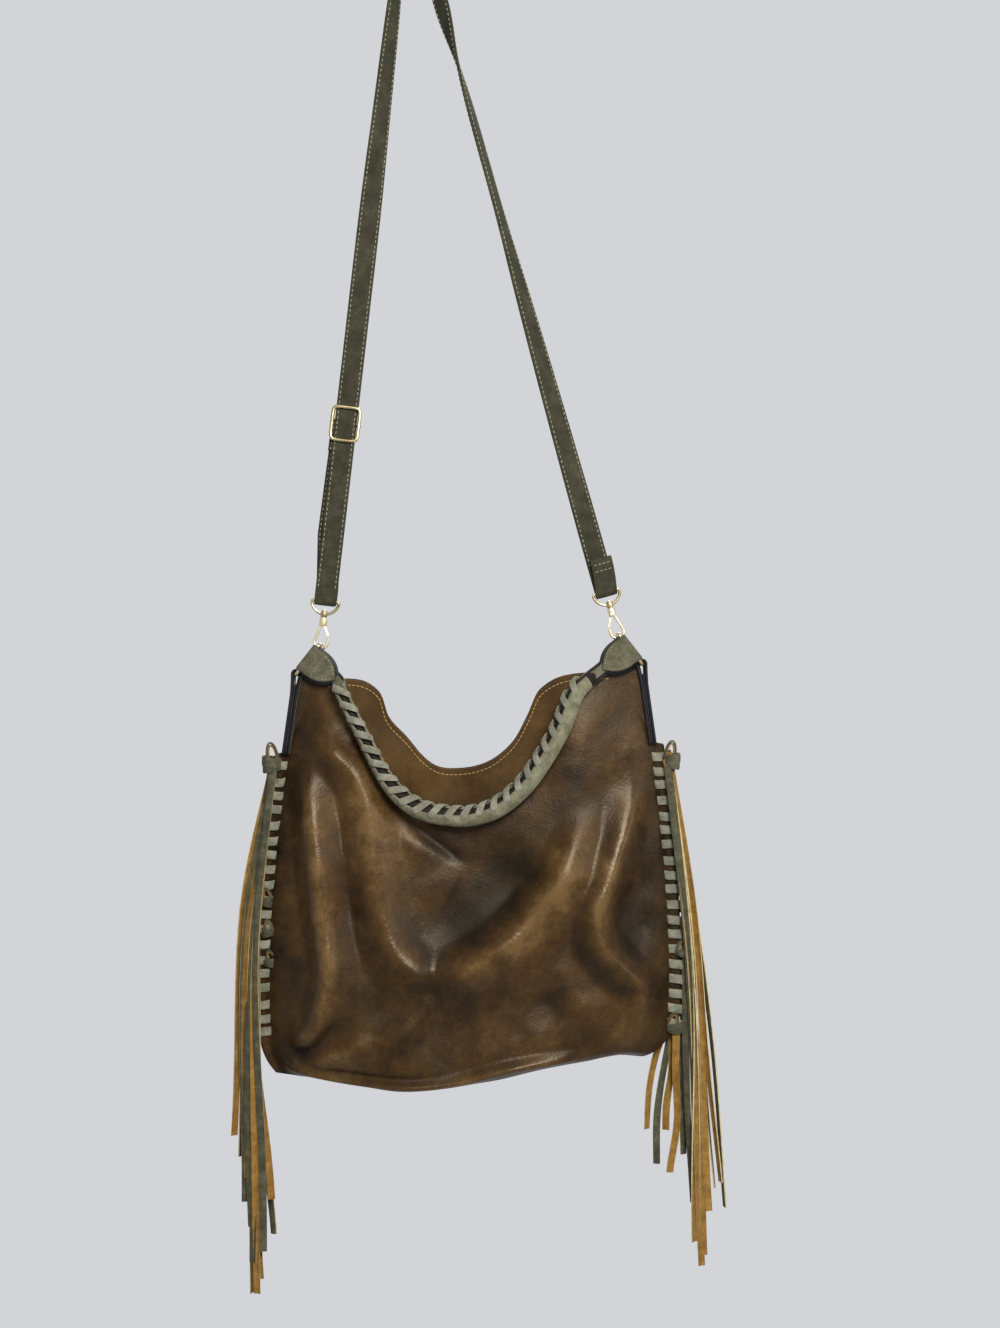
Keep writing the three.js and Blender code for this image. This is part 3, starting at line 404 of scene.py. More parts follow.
# %% Places of the rings and hooks
BAG_Y = 2.95
RING = {"left": v3(-82.5, BAG_Y, -645), "right": v3(185.5, BAG_Y, -635.7)}
OUT = {"left": -1, "right": 1}
RING_SPACING = 268
RING_RISE = 9.3
STRAP_TOP = {"left": v3(-9, BAG_Y, -7), "right": v3(9, BAG_Y, -7)}
HOOK_REACH = 39.6
SIDES = ("left", "right")
UP = {side: unit(STRAP_TOP[side] - RING[side]) for side in SIDES}
ASIDE = {side: v3(UP[side][2], 0, -UP[side][0]) for side in SIDES}
BAR = {side: RING[side] + UP[side] * HOOK_REACH for side in SIDES}


def on_leg(side, points):
    """From a strap leg's own axes, with the D-ring's bar as origin, to the bag's."""
    return np.asarray(points, float) @ np.array([ASIDE[side], DEEP, UP[side]]) + BAR[side]


for side in SIDES:
    print(side, "bar", BAR[side].round(2))

# %% [markdown]
# Four small helpers start and end every material: a texture's scale from a real size, a colour ramp
# from written colours, a new material with its coordinates, and the shader that closes it.

# %% Materials: helpers
def per_metre(size_mm):
    """A texture scale, in repeats to the metre, from a real size."""
    return 1 / (size_mm * METRE)


def ramp(tree, factor, *stops):
    made = node(tree, "ValToRGB", {"Fac": factor})
    marks = made.color_ramp.elements
    while len(marks) < len(stops):
        marks.new(0.5)
    for mark, (place, colour) in zip(marks, stops):
        mark.position = place
        mark.color = linear(colour)
    return made


def surface(name):
    """An empty material, its node tree and the place on the object."""
    made = bpy.data.materials.new(name)
    made.use_nodes = True
    tree = made.node_tree
    tree.nodes.clear()
    return made, tree, node(tree, "TexCoord").outputs["Object"]


def close_up(tree, settings):
    shader = node(tree, "BsdfPrincipled", settings)
    node(tree, "OutputMaterial", {"Surface": shader})


print("repeats to the metre of a 2 mm grain:", round(per_metre(2)))

# %% [markdown]
# The body is coated split leather: a smooth, softly glossy film over a fine pebble grain, rubbed by
# hand so that tan, olive brown and dark umber run into each other in clouds. The clouds could be painted
# on an image; noise needs none and has no seams. One noise mixes the colours at palm size and one at
# thumb size. The grain is about 1 mm on the real skin, which is one pixel here, so it is drawn at
# 2.2 mm. An attribute set further down paints light and shade into the colour: a crest is painted paler
# as a highlight and a hollow darker as shade, and the crest is also made a little glossier.

# %% Materials: mottled leather
# How far the painted light and shade of the folds moves the colour (painted highlights on crests, painted
# shade in hollows), and how much glossier it makes the crests.
PAINTED_SHADING_TONE = 0.34
PAINTED_SHADING_GLOSS = -0.1


def mottled_leather(name, colours, gloss):
    made, tree, place = surface(name)
    painted_shading = node(tree, "Attribute", attribute_name="painted_shading").outputs["Fac"]
    clouds = node(tree, "TexNoise", {
        "Vector": place, "Scale": per_metre(95), "Detail": 5, "Roughness": 0.6, "Distortion": 0.6,
    })
    thumbs = node(tree, "TexNoise", {"Vector": place, "Scale": per_metre(24), "Detail": 6, "Roughness": 0.65})
    specks = node(tree, "TexNoise", {"Vector": place, "Scale": per_metre(3.5), "Detail": 3})
    tone = node(tree, "Math", {0: clouds, 1: thumbs}, operation="ADD")
    tone = node(tree, "Math", {0: specks, 1: 0.22, 2: tone}, operation="MULTIPLY_ADD")
    tone = node(tree, "MapRange", {0: tone, 1: 0.7, 2: 1.52})
    # The painted light and shade is added to the tone here: crests paler as painted highlights, hollows and
    # flanks darker as painted shade.
    tone = node(tree, "Math", {0: painted_shading, 1: PAINTED_SHADING_TONE, 2: tone}, operation="MULTIPLY_ADD")
    grain = node(tree, "TexVoronoi", {"Vector": place, "Scale": per_metre(2.2)}, feature="SMOOTH_F1")
    creases = node(tree, "TexNoise", {
        "Vector": place, "Scale": per_metre(11), "Detail": 4, "Distortion": 1.2,
    })
    relief = node(tree, "Math", {0: creases, 1: 1.4, 2: grain}, operation="MULTIPLY_ADD")
    bump = node(tree, "Bump", {"Height": relief, "Strength": 0.22, "Distance": 0.0007})
    film = node(tree, "MapRange", {0: thumbs, 1: 0.3, 2: 0.7, 3: gloss[0], 4: gloss[1]})
    film = node(tree, "Math", {0: painted_shading, 1: PAINTED_SHADING_GLOSS, 2: film}, operation="MULTIPLY_ADD")
    close_up(tree, {
        "Base Color": ramp(tree, tone, *colours), "Roughness": film, "Normal": bump,
        "Specular IOR Level": 0.25, "Specular Tint": linear("#F4E3C8"),
    })
    return made


# The darkest stops are reached mostly in the painted shade of hollows, and the palest on the painted
# highlights of crests.
BODY_COLOURS = ((0.0, "#130C05"), (0.28, "#291C0E"), (0.52, "#3A2813"), (0.76, "#4C371C"), (1.0, "#654D2E"))
body_leather = mottled_leather("mottled_split_leather", BODY_COLOURS, (0.35, 0.43))
LINING_COLOURS = ((0.0, "#2C1F12"), (0.4, "#433019"), (0.7, "#553F20"), (1.0, "#654C29"))
inner_leather = mottled_leather("leather_inner_face", LINING_COLOURS, (0.6, 0.75))
print("leathers:", body_leather.name, inner_leather.name)

# %% [markdown]
# The trims are suede: the napped flesh side of a split, dyed olive. Its short fibres scatter light
# without any gloss and catch a pale sheen at glancing angles, and finger strokes leave light and
# dark patches. Hair could make the nap, but at this size a fine bump and a sheen look the same. The
# fringe is cut from the same suede, olive on its face and raw tan on its back, with cream edges where
# the knife went through.

# %% Materials: suede and strap leather
def suede(name, colours, sheen, nap_mm=1.6, stroke_mm=9):
    made, tree, place = surface(name)
    strokes = node(tree, "TexNoise", {
        "Vector": place, "Scale": per_metre(stroke_mm), "Detail": 4, "Roughness": 0.6,
    })
    nap = node(tree, "TexNoise", {
        "Vector": place, "Scale": per_metre(nap_mm), "Detail": 5, "Roughness": 0.75,
    })
    tone = node(tree, "Math", {0: nap, 1: 0.7, 2: strokes}, operation="MULTIPLY_ADD")
    tone = node(tree, "MapRange", {0: tone, 1: 0.55, 2: 1.15})
    bump = node(tree, "Bump", {"Height": nap, "Strength": 0.5, "Distance": 0.0006})
    close_up(tree, {
        "Base Color": ramp(tree, tone, *colours), "Roughness": 0.93, "Normal": bump,
        "Specular IOR Level": 0.25,
        "Sheen Weight": sheen, "Sheen Roughness": 0.45, "Sheen Tint": linear("#C9C6AE"),
    })
    return made


lace_suede = suede("olive_lace_suede", ((0.0, "#57554A"), (0.5, "#7C7A68"), (1.0, "#9A9786")), 0.25)
sleeve_suede = suede("olive_sleeve_suede", ((0.0, "#55533F"), (0.5, "#737158"), (1.0, "#8E8B74")), 0.25)
tab_suede = suede("olive_tab_leather", ((0.0, "#403E2E"), (0.5, "#5A5744"), (1.0, "#726E5C")), 0.15)
STRAP_COLOURS = ((0.0, "#25241A"), (0.5, "#343325"), (1.0, "#484634"))
strap_leather = suede("dark_olive_strap", STRAP_COLOURS, 0.07, nap_mm=2.2, stroke_mm=14)
fringe_olive = suede("fringe_olive_face", ((0.0, "#313022"), (0.5, "#4A4836"), (1.0, "#68654F")), 0.15)
fringe_tan = suede("fringe_tan_back", ((0.0, "#6C4D20"), (0.5, "#8C672D"), (1.0, "#A78346")), 0.1)
EDGE_COLOURS = ((0.0, "#A08C5E"), (0.5, "#C4B283"), (1.0, "#DACBA0"))
raw_edge = suede("raw_cut_edge", EDGE_COLOURS, 0.1, nap_mm=0.9, stroke_mm=6)
print("suedes:", lace_suede.name, sleeve_suede.name, fringe_olive.name, fringe_tan.name)

# %% [markdown]
# Edge paint is a thick acrylic that flows smooth over a cut edge and shines a little. Plain black would
# look like plastic, so a slow noise moves its colour and height a little. The same finish, duller,
# serves the handle's core and the line of glue in the side straps.

# %% Materials: edge paint
def edge_paint(name, colours, roughness):
    made, tree, place = surface(name)
    flow = node(tree, "TexNoise", {"Vector": place, "Scale": per_metre(6), "Detail": 3})
    bump = node(tree, "Bump", {"Height": flow, "Strength": 0.25, "Distance": 0.0005})
    close_up(tree, {
        "Base Color": ramp(tree, flow, *colours), "Roughness": roughness, "Normal": bump,
        "Specular IOR Level": 0.22,
    })
    return made


black_edge = edge_paint("black_edge_paint", ((0.2, "#0B0A0D"), (0.8, "#17151A")), 0.38)
dark_core = edge_paint("dark_handle_core", ((0.2, "#110D08"), (0.8, "#1F1810")), 0.75)
dull_glue = edge_paint("dull_glue_line", ((0.2, "#1C1B1E"), (0.8, "#2E2C2F")), 0.6)
print("paints:", black_edge.name, dark_core.name, dull_glue.name)

# %% [markdown]
# The fittings are zinc castings with a thin gold plate, almost a mirror, dulled by fine handling marks.
# The hooks get a paler gold, lightened as painted light for the strong light on them, and the rings
# and the slider an aged, darker gold, darkened also as painted shade for the dark reflections in them.
# A metal shader needs only a tint and a roughness, and both wander a little, as the marks do.

# %% Materials: plated zinc
def plated_zinc(name, dull, bright):
    made, tree, place = surface(name)
    marks = node(tree, "TexNoise", {"Vector": place, "Scale": per_metre(14), "Detail": 2})
    tint = ramp(tree, marks, (0.3, dull), (0.7, bright))
    dulled = node(tree, "MapRange", {0: marks, 1: 0.3, 2: 0.7, 3: 0.27, 4: 0.33})
    close_up(tree, {"Base Color": tint, "Metallic": 1.0, "Roughness": dulled})
    return made


# The paler gold is painted light for the brightly lit hooks; the darker, aged gold is partly painted shade
# for the dark reflections in the rings and the slider.
lit_pale_gold = plated_zinc("pale_gold_plated_zinc", "#E3D3A4", "#F1E6C4")
aged_and_shaded_gold = plated_zinc("aged_shaded_gold_plated_zinc", "#9C8A60", "#CBBE96")
print("metals:", lit_pale_gold.name, aged_and_shaded_gold.name)

# %% [markdown]
# Waxed thread has a twist: its plies run slantwise along each stitch. To model them would take thousands
# of faces for what is half a pixel wide, so a slanting wave gives their colour and relief.

# %% Materials: thread
def waxed_thread(name, *colours):
    made, tree, place = surface(name)
    waves = {"Vector": place, "Scale": per_metre(6), "Distortion": 1.5}
    plies = node(tree, "TexWave", waves, bands_direction="DIAGONAL")
    bump = node(tree, "Bump", {"Height": plies, "Strength": 0.4, "Distance": 0.0002})
    tint = ramp(tree, plies, *zip((0.0, 1.0), colours))
    close_up(tree, {"Base Color": tint, "Roughness": 0.6, "Normal": bump})
    return made


cream_thread = waxed_thread("cream_thread", "#6A6650", "#959072")
tab_thread = waxed_thread("olive_tab_thread", "#6E6A4C", "#96906C")
tan_thread = waxed_thread("tan_thread", "#96733A", "#BE9A5C")
print("threads:", cream_thread.name, tab_thread.name, tan_thread.name)

# %% [markdown]
# Everything on the sides follows the body's edge: first along the side strap that hangs from the
# ring's lower bar and leans outwards, then along the laced margin, which flares and comes in again
# near the bottom. One function tells how far outside its ring this edge lies at each drop below it.

# %% Body: the edge of its sides
BAG_DROP = 385
SHOULDER = 100.58
SHOULDER_FLARE = 31.8
SIDE_FLARE = 47.5
MARGIN = 9
SIDE_LEAN = math.radians(8)
STRAP_HEAD = (20.93, 26.79)
BESIDE_STRAP = 5.2
SHOULDER_STEP = 3
FLARE_SHARES = ((0.43, 0.84), (0.71, 1), (0.91, 0.97), (0.97, 0.86), (1.02, 0.6))
flare = through([(SHOULDER, SHOULDER_FLARE)] + [(a * BAG_DROP, b * SIDE_FLARE) for a, b in FLARE_SHARES])


def edge_out(drop):
    """How far outside its ring the body's edge lies: along the side strap, then the laced margin."""
    beside_strap = STRAP_HEAD[0] + (drop - STRAP_HEAD[1]) * math.tan(SIDE_LEAN) - BESIDE_STRAP
    share = np.clip((drop - SHOULDER) / SHOULDER_STEP, 0, 1)
    return mix(beside_strap, flare(drop) + MARGIN, share)


print("edge outside the rings at half the bag's drop:", edge_out(BAG_DROP / 2).round(1), "mm")

# %% [markdown]
# The fringe comes first among the pieces, because its strips are free cords and the frame tool
# measures them. Each strip is a flat suede band. It leaves the laced edge, swings outward over its
# neighbours and hangs, turning slowly so that now the olive face and now the tan back shows. A cloth
# simulation could hang them, but each strip's way can be read off the photo, so each has a row of its
# own in a table.

# %% Fringe: where each strip hangs
FRINGE_FIRST = 4.7
FRINGE_LAYER = 1.5
FRINGE_BOW = 0.42
FRINGE_STEPS = 64
# Each row: place below the shoulder (or above the bottom, below zero), layer, hitch, bow and end
# outward, length, and the turns in degrees at the hitch, the bow and the end.
FRINGE = {
    "left": (
        (5.4, -1, 0.4, 29.4, 35.4, 335, 10, 60, 35),
        (6.5, -2, 1.3, 25.3, 27.3, 393, 170, 215, 190),
        (7.4, -3, -0.8, 23.2, 24.2, 370, 0, -30, 20),
        (8.5, -4, 1, 21, 20, 412, 180, 150, 205),
        (9.4, -5, -1.1, 18.9, 14.9, 442, 175, 205, 160),
        (10.5, -6, -0.2, 16.8, 11.8, 469, 5, 30, -15),
        (11.4, -7, -0.4, 14.6, 6.6, 430, 180, 160, 200),
        (5.4, 1, 1.4, 27.4, 30.4, 356, 180, 220, 250),
        (7.4, 2, 0.2, 22.2, 18.2, 478, 0, 40, 60),
        (123.4, -1, 3.2, 3.2, -0.8, 346, 5, -25, 10),
        (151.3, 1, 2.4, 1.4, -9.6, 281, 170, 190, 150),
        (178.3, -2, 2.3, 0.3, -12.7, 219, 10, 30, 0),
    ),
    "right": (
        (3.4, -1, 2.7, 30.7, 56.7, 410, 180, 125, 105),
        (5.4, -2, 3.4, 28.4, 48.4, 386, 0, -40, -70),
        (7.4, -3, 1.2, 26.2, 40.2, 409, 170, 70, 10),
        (9.4, -4, 1.9, 23.9, 35.9, 446, 175, 100, 20),
        (11.4, -5, 0.6, 21.6, 32.6, 453, 0, 45, 20),
        (15.4, -6, 1.1, 19.1, 26.1, 427, 180, 150, 35),
        (4.6, 1, 2.6, 29.6, 44.6, 395, 180, 230, 260),
        (9.4, 2, 0.9, 23.9, 29.9, 420, 0, 30, 70),
        (152.4, -1, 4.4, 5.4, 10.4, 258, 180, 160, 130),
        (176.3, 1, 3.4, 3.4, 1.4, 193, 180, 150, 210),
        (-33, -1, -2.9, -2.9, -5.9, 131, 10, -15, 20),
        (-31, 1, -4.8, -6.8, -11.8, 94, 0, 30, -20),
        (-35, 2, -5.1, -15.1, -21.1, 129, 175, 200, 165),
        (-38.1, 3, -9.3, -22.3, -29.3, 101, 5, 25, 45),
    ),
}


def fringe_line(side, place, layer, hitch, bow, end, length):
    start = BAG_DROP + place if place < 0 else SHOULDER + place
    stop = start + length
    edge = edge_out(start)
    out = through([(start, edge + hitch), (mix(start, stop, FRINGE_BOW), edge + bow), (stop, edge + end)])
    drop = np.linspace(start, stop, FRINGE_STEPS)
    depth = BAG_Y + math.copysign(FRINGE_FIRST + (abs(layer) - 1) * FRINGE_LAYER, layer)
    x = RING[side][0] + OUT[side] * out(drop)
    return np.stack([x, np.full_like(drop, depth), RING[side][2] - drop], 1)


print("fringe strips:", {side: len(rows) for side, rows in FRINGE.items()})

# %% [markdown]
# A strip is swept along its line. It sways a little, and it curls to a shallow trough that opens and
# closes along its way. The olive face, the tan back and the cut edges get a material each.

# %% Fringe: the strips
FRINGE_WIDTH = 6.5
FRINGE_THICK = 1.1
TROUGH = 0.9
TROUGH_NARROWS = 0.06
SWAY = v3(2.2, 1.2, 0)
STRIP_SECTION = ((-1, 1), (-0.4, 1), (0.4, 1), (1, 1), (1, -1), (0.4, -1), (-0.4, -1), (-1, -1))
STRIP_SLOTS = (0, 0, 0, 2, 1, 1, 1, 2)


def turning(line, degrees):
    """Ways across along a hanging line, turned about it from facing the viewer."""
    turn = np.radians(degrees)[:, None]
    forward = headings(line)
    flat = unit(np.cross(forward, DEEP))
    return flat * np.cos(turn) + unit(np.cross(flat, forward)) * np.sin(turn)


def fringe_strip(name, side, row, dice):
    line = fringe_line(side, *row[:6])
    share = np.linspace(0, 1, len(line))
    sway = dice.uniform(0.5, 1.4) * np.sin(share * dice.uniform(5, 9) + dice.uniform(0, 6)) * share
    line += sway[:, None] * SWAY
    across = turning(line, through([(0, row[6]), (FRINGE_BOW, row[7]), (1, row[8])])(share))
    curl = 0.5 + 0.5 * np.sin(share * dice.uniform(4, 8) + dice.uniform(0, 6))
    outline = np.zeros((len(line), len(STRIP_SECTION), 2))
    for k, (x, y) in enumerate(STRIP_SECTION):
        outline[:, k, 0] = x * FRINGE_WIDTH / 2 * (1 - TROUGH_NARROWS * curl)
        outline[:, k, 1] = y * FRINGE_THICK / 2 + TROUGH * curl * (1 - x * x)
    points, faces, uv = sweep_arrays(line, across, outline)
    slots = [STRIP_SLOTS[i % len(STRIP_SLOTS)] for i in range(len(faces) - 2)] + [2, 2]
    materials = [fringe_olive, fringe_tan, raw_edge]
    made = outward(make(name.replace("fringe", "suede_strip"), points, faces, materials, uv, slots))
    bpy.ops.object.shade_smooth_by_angle(angle=math.radians(50))
    finish(made, "bag", "fringe", name)
    return lengths(line)[-1]


dice = random.Random(7)
for side in SIDES:
    hung = [
        fringe_strip(f"{side}_fringe_{number:02d}", side, row, dice)
        for number, row in enumerate(FRINGE[side], 1)
    ]
    print(side, "strips, mm:", [round(length) for length in hung])

# %% [markdown]
# The long strap is one band of dark olive leather, about 20 mm wide. It comes from behind the left
# D-ring, turns round its bar, climbs the left leg, lies over the top and runs down the right leg to the
# other D-ring, where its end folds up in front. The way is that of its CAD solid, with many more places.

# %% Strap: its way
STRAP_WIDTH = 20
STRAP_THICK = 2.4
WRAP = 2.95
PEG_ROUND = 7
PEG_FLAT = 12
LEG_STEPS = 110
STRAP_END = ((6, 0.9), (12, 1.9), (18, 2.6), (24, 3.0), (31, 3.2))


def bar_turn(steps=14):
    angle = np.linspace(0, math.pi, steps)
    return [(-WRAP * math.sin(a), BAG_Y + WRAP * math.cos(a)) for a in angle]


def strap_path():
    """The strap's middle line, as sides and places, from the left D-ring over the top to the right one."""
    path = []

    def add(side, rise, depth, aside=0.0):
        place = BAR[side] + UP[side] * rise + ASIDE[side] * aside
        path.append((side, v3(place[0], depth, place[2])))

    leg = {side: np.linalg.norm(STRAP_TOP[side] - BAR[side]) for side in SIDES}
    add("left", 12, BAG_Y + WRAP)
    for rise, depth in bar_turn():
        add("left", rise, depth)
    for i in range(1, LEG_STEPS + 1):
        add("left", leg["left"] * i / LEG_STEPS, BAG_Y - WRAP)
    crown = PEG_ROUND + STRAP_THICK / 2
    for side, angles in (("left", np.linspace(165, 90, 8)), ("right", np.linspace(90, 15, 8))):
        for angle in np.radians(angles):
            x = crown * math.cos(angle) + OUT[side] * PEG_FLAT / 2
            path.append((side, v3(x, 0, crown * math.sin(angle) - PEG_ROUND)))
    for i in range(LEG_STEPS, 0, -1):
        add("right", leg["right"] * i / LEG_STEPS, mix(BAG_Y + WRAP, BAG_Y - WRAP, i / LEG_STEPS))
    for rise, depth in bar_turn():
        add("right", rise, depth)
    for rise, aside in STRAP_END:
        add("right", rise, BAG_Y - WRAP, aside)
    return path


print("places along the strap:", len(strap_path()))

# %% [markdown]
# The band is folded over a filler and sewn along both edges, and the filler gives it a slight crown
# between the seams. Its legs turn edge-on as they near the top, because it lies flat over what holds it.

# %% Strap: its band
LEFT_TWIST = ((0, 90), (66, 62), (160, 42), (260, 14), (330, 0), (345, 0))
RIGHT_TWIST = ((0, 90), (66, 128), (120, 88), (162, 72), (255, 66), (335, 48), (480, 18), (560, 0))
twist_below_top = {"left": through(LEFT_TWIST), "right": through(RIGHT_TWIST)}
STRAP_SECTION = band(STRAP_WIDTH, STRAP_THICK, 0.9, 0.25)


def strap_stations():
    """The strap's places with their ways across and up, twisted as the legs are."""
    path = strap_path()
    places = np.array([place for _, place in path])
    forward = headings(places)
    across = []
    for (side, place), way in zip(path, forward):
        twist = math.radians(twist_below_top[side](-place[2]))
        flat = ASIDE[side] * math.cos(twist) + DEEP * math.sin(twist)
        across.append(unit(flat - np.dot(flat, way) * way))
    across = np.array(across)
    return places, across, unit(np.cross(forward, across))


def band_along(name, stations):
    places, across, up = stations
    return sweep(name, places, across, STRAP_SECTION, strap_leather, up)


strap_line = strap_stations()
strap = band_along("olive_strap_band", strap_line)
finish(strap, "strap", "strap", "crossbody_strap")
print("strap length, mm:", lengths(strap_line[0])[-1].round())

# %% [markdown]
# A stitch shows as a short, slightly sunk capsule of thread. A texture could draw it, but only a solid
# stitch catches the light and stays sharp near by. One helper lays a whole row along a line on a
# surface: each stitch is a six-sided spindle of 26 faces, and its ends dip into the leather.
# The strap is sewn along both edges, and both faces show the thread.

# %% Stitches
STITCH_SIDES = 6
# A stitch along its way: share of its length, fatness and lift, both in shares of its thickness.
STITCH_PROFILE = (
    (-0.5, 0.2, -1.1), (-0.36, 0.85, -0.15), (0.0, 1.0, 0.1), (0.36, 0.85, -0.15), (0.5, 0.2, -1.1),
)
STITCH_SINK = 0.35
STITCH_SPREAD = 1.15
STRAP_SEAM = 2.3


def stitch_faces(base):
    """The faces of one spindle whose points start at a number."""
    n, last = STITCH_SIDES, base + (len(STITCH_PROFILE) - 1) * STITCH_SIDES
    faces = []
    for ring in range(base, last, n):
        for k in range(n):
            m = (k + 1) % n
            faces.append((ring + k, ring + n + k, ring + n + m, ring + m))
    return faces + [tuple(base + k for k in range(n)), tuple(last + k for k in reversed(range(n)))]


def stitch_row(name, line, normals, material, pitch=4.6, length=3.3, thick=0.5):
    run = lengths(line)
    points, faces = [], []
    for start in np.arange(pitch / 2, run[-1] - pitch / 2, pitch):
        faces += stitch_faces(len(points))
        for along, fat, lift in STITCH_PROFILE:
            at = start + along * length
            way = unit(walked(at + 0.5, run, line) - walked(at - 0.5, run, line))
            normal = unit(walked(at, run, normals))
            beside = unit(np.cross(way, normal))
            middle = walked(at, run, line) + normal * (thick * (lift + 1 - STITCH_SINK * 2))
            for x, y in disc(thick * fat, STITCH_SIDES):
                points.append(middle + beside * (x * STITCH_SPREAD) + normal * y)
    return outward(make(name, points, faces, [material]))


def edge_stitches(name, stations, ends=(0, None)):
    """Rows along both edges of the strap, on both of its faces."""
    places, across, up = (a[ends[0] : ends[1]] for a in stations)
    rows = []
    for edge in (-1, 1):
        for face in (-1, 1):
            line = places + across * (edge * (STRAP_WIDTH / 2 - STRAP_SEAM)) + up * (face * STRAP_THICK / 2)
            rows.append(stitch_row(f"{name}_{len(rows)}", line, up * face, cream_thread))
    return joined(name, rows)


strap_seams = edge_stitches("strap_seam_thread", strap_line, (16, -22))
finish(strap_seams, "strap", "strap")
print("stitches along the strap:", len(strap_seams.data.polygons) // len(stitch_faces(0)))

# %% [markdown]
# On the right the strap's end folds round the D-ring and comes up in front of the leg. Two short rows
# of stitches across it hold the fold.

# %% Strap end stitches
END_ROWS = (19.5, 25.5)
END_HALF = 8
END_SHIFT = 2.8
end_rows = []
for rise in END_ROWS:
    middle = BAR["right"] + UP["right"] * rise + ASIDE["right"] * END_SHIFT
    middle[1] = -STRAP_THICK / 2
    line = middle + np.linspace(-END_HALF, END_HALF, 9)[:, None] * ASIDE["right"]
    front = np.broadcast_to(-DEEP, line.shape)
    end_rows.append(stitch_row(f"end_row_{rise}", line, front, cream_thread, 4.0, 3.0, 0.55))
finish(joined("strap_end_thread", end_rows), "strap", "strap")
print("end rows:", len(END_ROWS))

# %% [markdown]
# The strap's other end passes behind the left leg and loops round the slider's centre bar. On the real
# strap this run follows the slider at its top and stays at the D-ring at its bottom; here it is one
# fixed piece. It peeks out a few millimetres to the left of the leg.

# %% Adjusting run
SLIDER_UP = 160
SLIDER_WIRE = 3.2
SLIDER_BACK = STRAP_THICK * 1.5 + 0.6 + SLIDER_WIRE / 2
ADJUST_FOLD = 25
RUN_END = 12.3
RUN_DRIFT = ((12, 60, 150), (0, -4.6, -3.2))


def adjusting_run():
    turn = SLIDER_WIRE / 2 + 0.15 + STRAP_THICK / 2
    front, back = SLIDER_BACK - turn, SLIDER_BACK + turn
    path = [(front, SLIDER_UP - ADJUST_FOLD), (front, SLIDER_UP - ADJUST_FOLD / 2)]
    for angle in np.linspace(math.pi, 0, 13):
        path.append((SLIDER_BACK + turn * math.cos(angle), SLIDER_UP + turn * math.sin(angle)))
    for share in np.linspace(0.15, 1, 30):
        depth = mix(back, 2 * WRAP, min(share / 0.3, 1)) + 1.4 * math.sin(share * math.pi)
        path.append((depth, mix(SLIDER_UP, RUN_END, share)))
    depth, rise = np.array(path).T
    drift = np.interp(rise, *RUN_DRIFT)
    places = on_leg("left", np.stack([drift, depth, rise], 1))
    places[:, 1] -= BAG_Y
    across = np.broadcast_to(ASIDE["left"], places.shape)
    return places, across, unit(np.cross(headings(places), across))


run_line = adjusting_run()
run = band_along("strap_return_run", run_line)
run_seams = edge_stitches("return_run_thread", run_line)
run = joined("strap_return_run", [run, run_seams])
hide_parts("strap_adjust_run")
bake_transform(run)
print("adjusting run:", len(run.data.polygons), "faces")

# %% [markdown]
# The body is two limp sheets, laced together at the sides and closed at the bottom. Each sheet's rim
# dips in a curve of its own between the corners, the bottom sags a little to the left, and the depth
# grows from the rim down until both sheets turn in and meet.

# %% Body: its outline
BAG_DEPTH = 74
LEATHER = 2
SIDE_ROUND = 110
SEAM_HALF = 0.3
PANEL_TUCK = 2.2
SHOULDER_RAISE = 5
PANEL_CORNER = 34
CORNER_FROM = 0.89
CORNER_IN = {"left": 3, "right": 24}
RIM_DROP = {"front": 151, "back": 116}
FACING = {"front": -1, "back": 1}
rim_dip = {
    "front": through([
        (0, -0.06), (0.045, -0.015), (0.1, 0), (0.16, 0.2), (0.23, 0.48), (0.29, 0.77), (0.35, 0.95),
        (0.45, 1), (0.56, 0.95), (0.64, 0.77), (0.7, 0.53), (0.76, 0.22), (0.83, 0.02), (0.955, -0.015),
        (1, -0.06),
    ]),
    "back": through([
        (0, 0), (0.16, -0.02), (0.23, 0.12), (0.27, 0.4), (0.33, 0.63), (0.4, 0.93), (0.45, 1),
        (0.54, 0.95), (0.61, 0.74), (0.66, 0.45), (0.71, 0.15), (0.8, 0), (1, 0),
    ]),
}
bottom_dip = through([(0, 0), (0.08, 5), (0.31, 15), (0.43, 14), (0.55, 10), (0.72, -1), (0.89, -7), (1, -5)])
fullness = through([
    (0, 0.3), (0.3, 0.55), (0.6, 0.82), (0.85, 0.96),
    (0.925, 0.985), (0.955, 0.99), (0.972, 0.96), (0.988, 0.72), (1, 0),
])


def rim_drop(which, u):
    """How far below its ring a sheet's rim lies, at a share across."""
    return mix(PANEL_CORNER, RIM_DROP[which], rim_dip[which](u))


print("rims at their middle, mm below the rings:", {which: rim_drop(which, 0.45).round() for which in FACING})
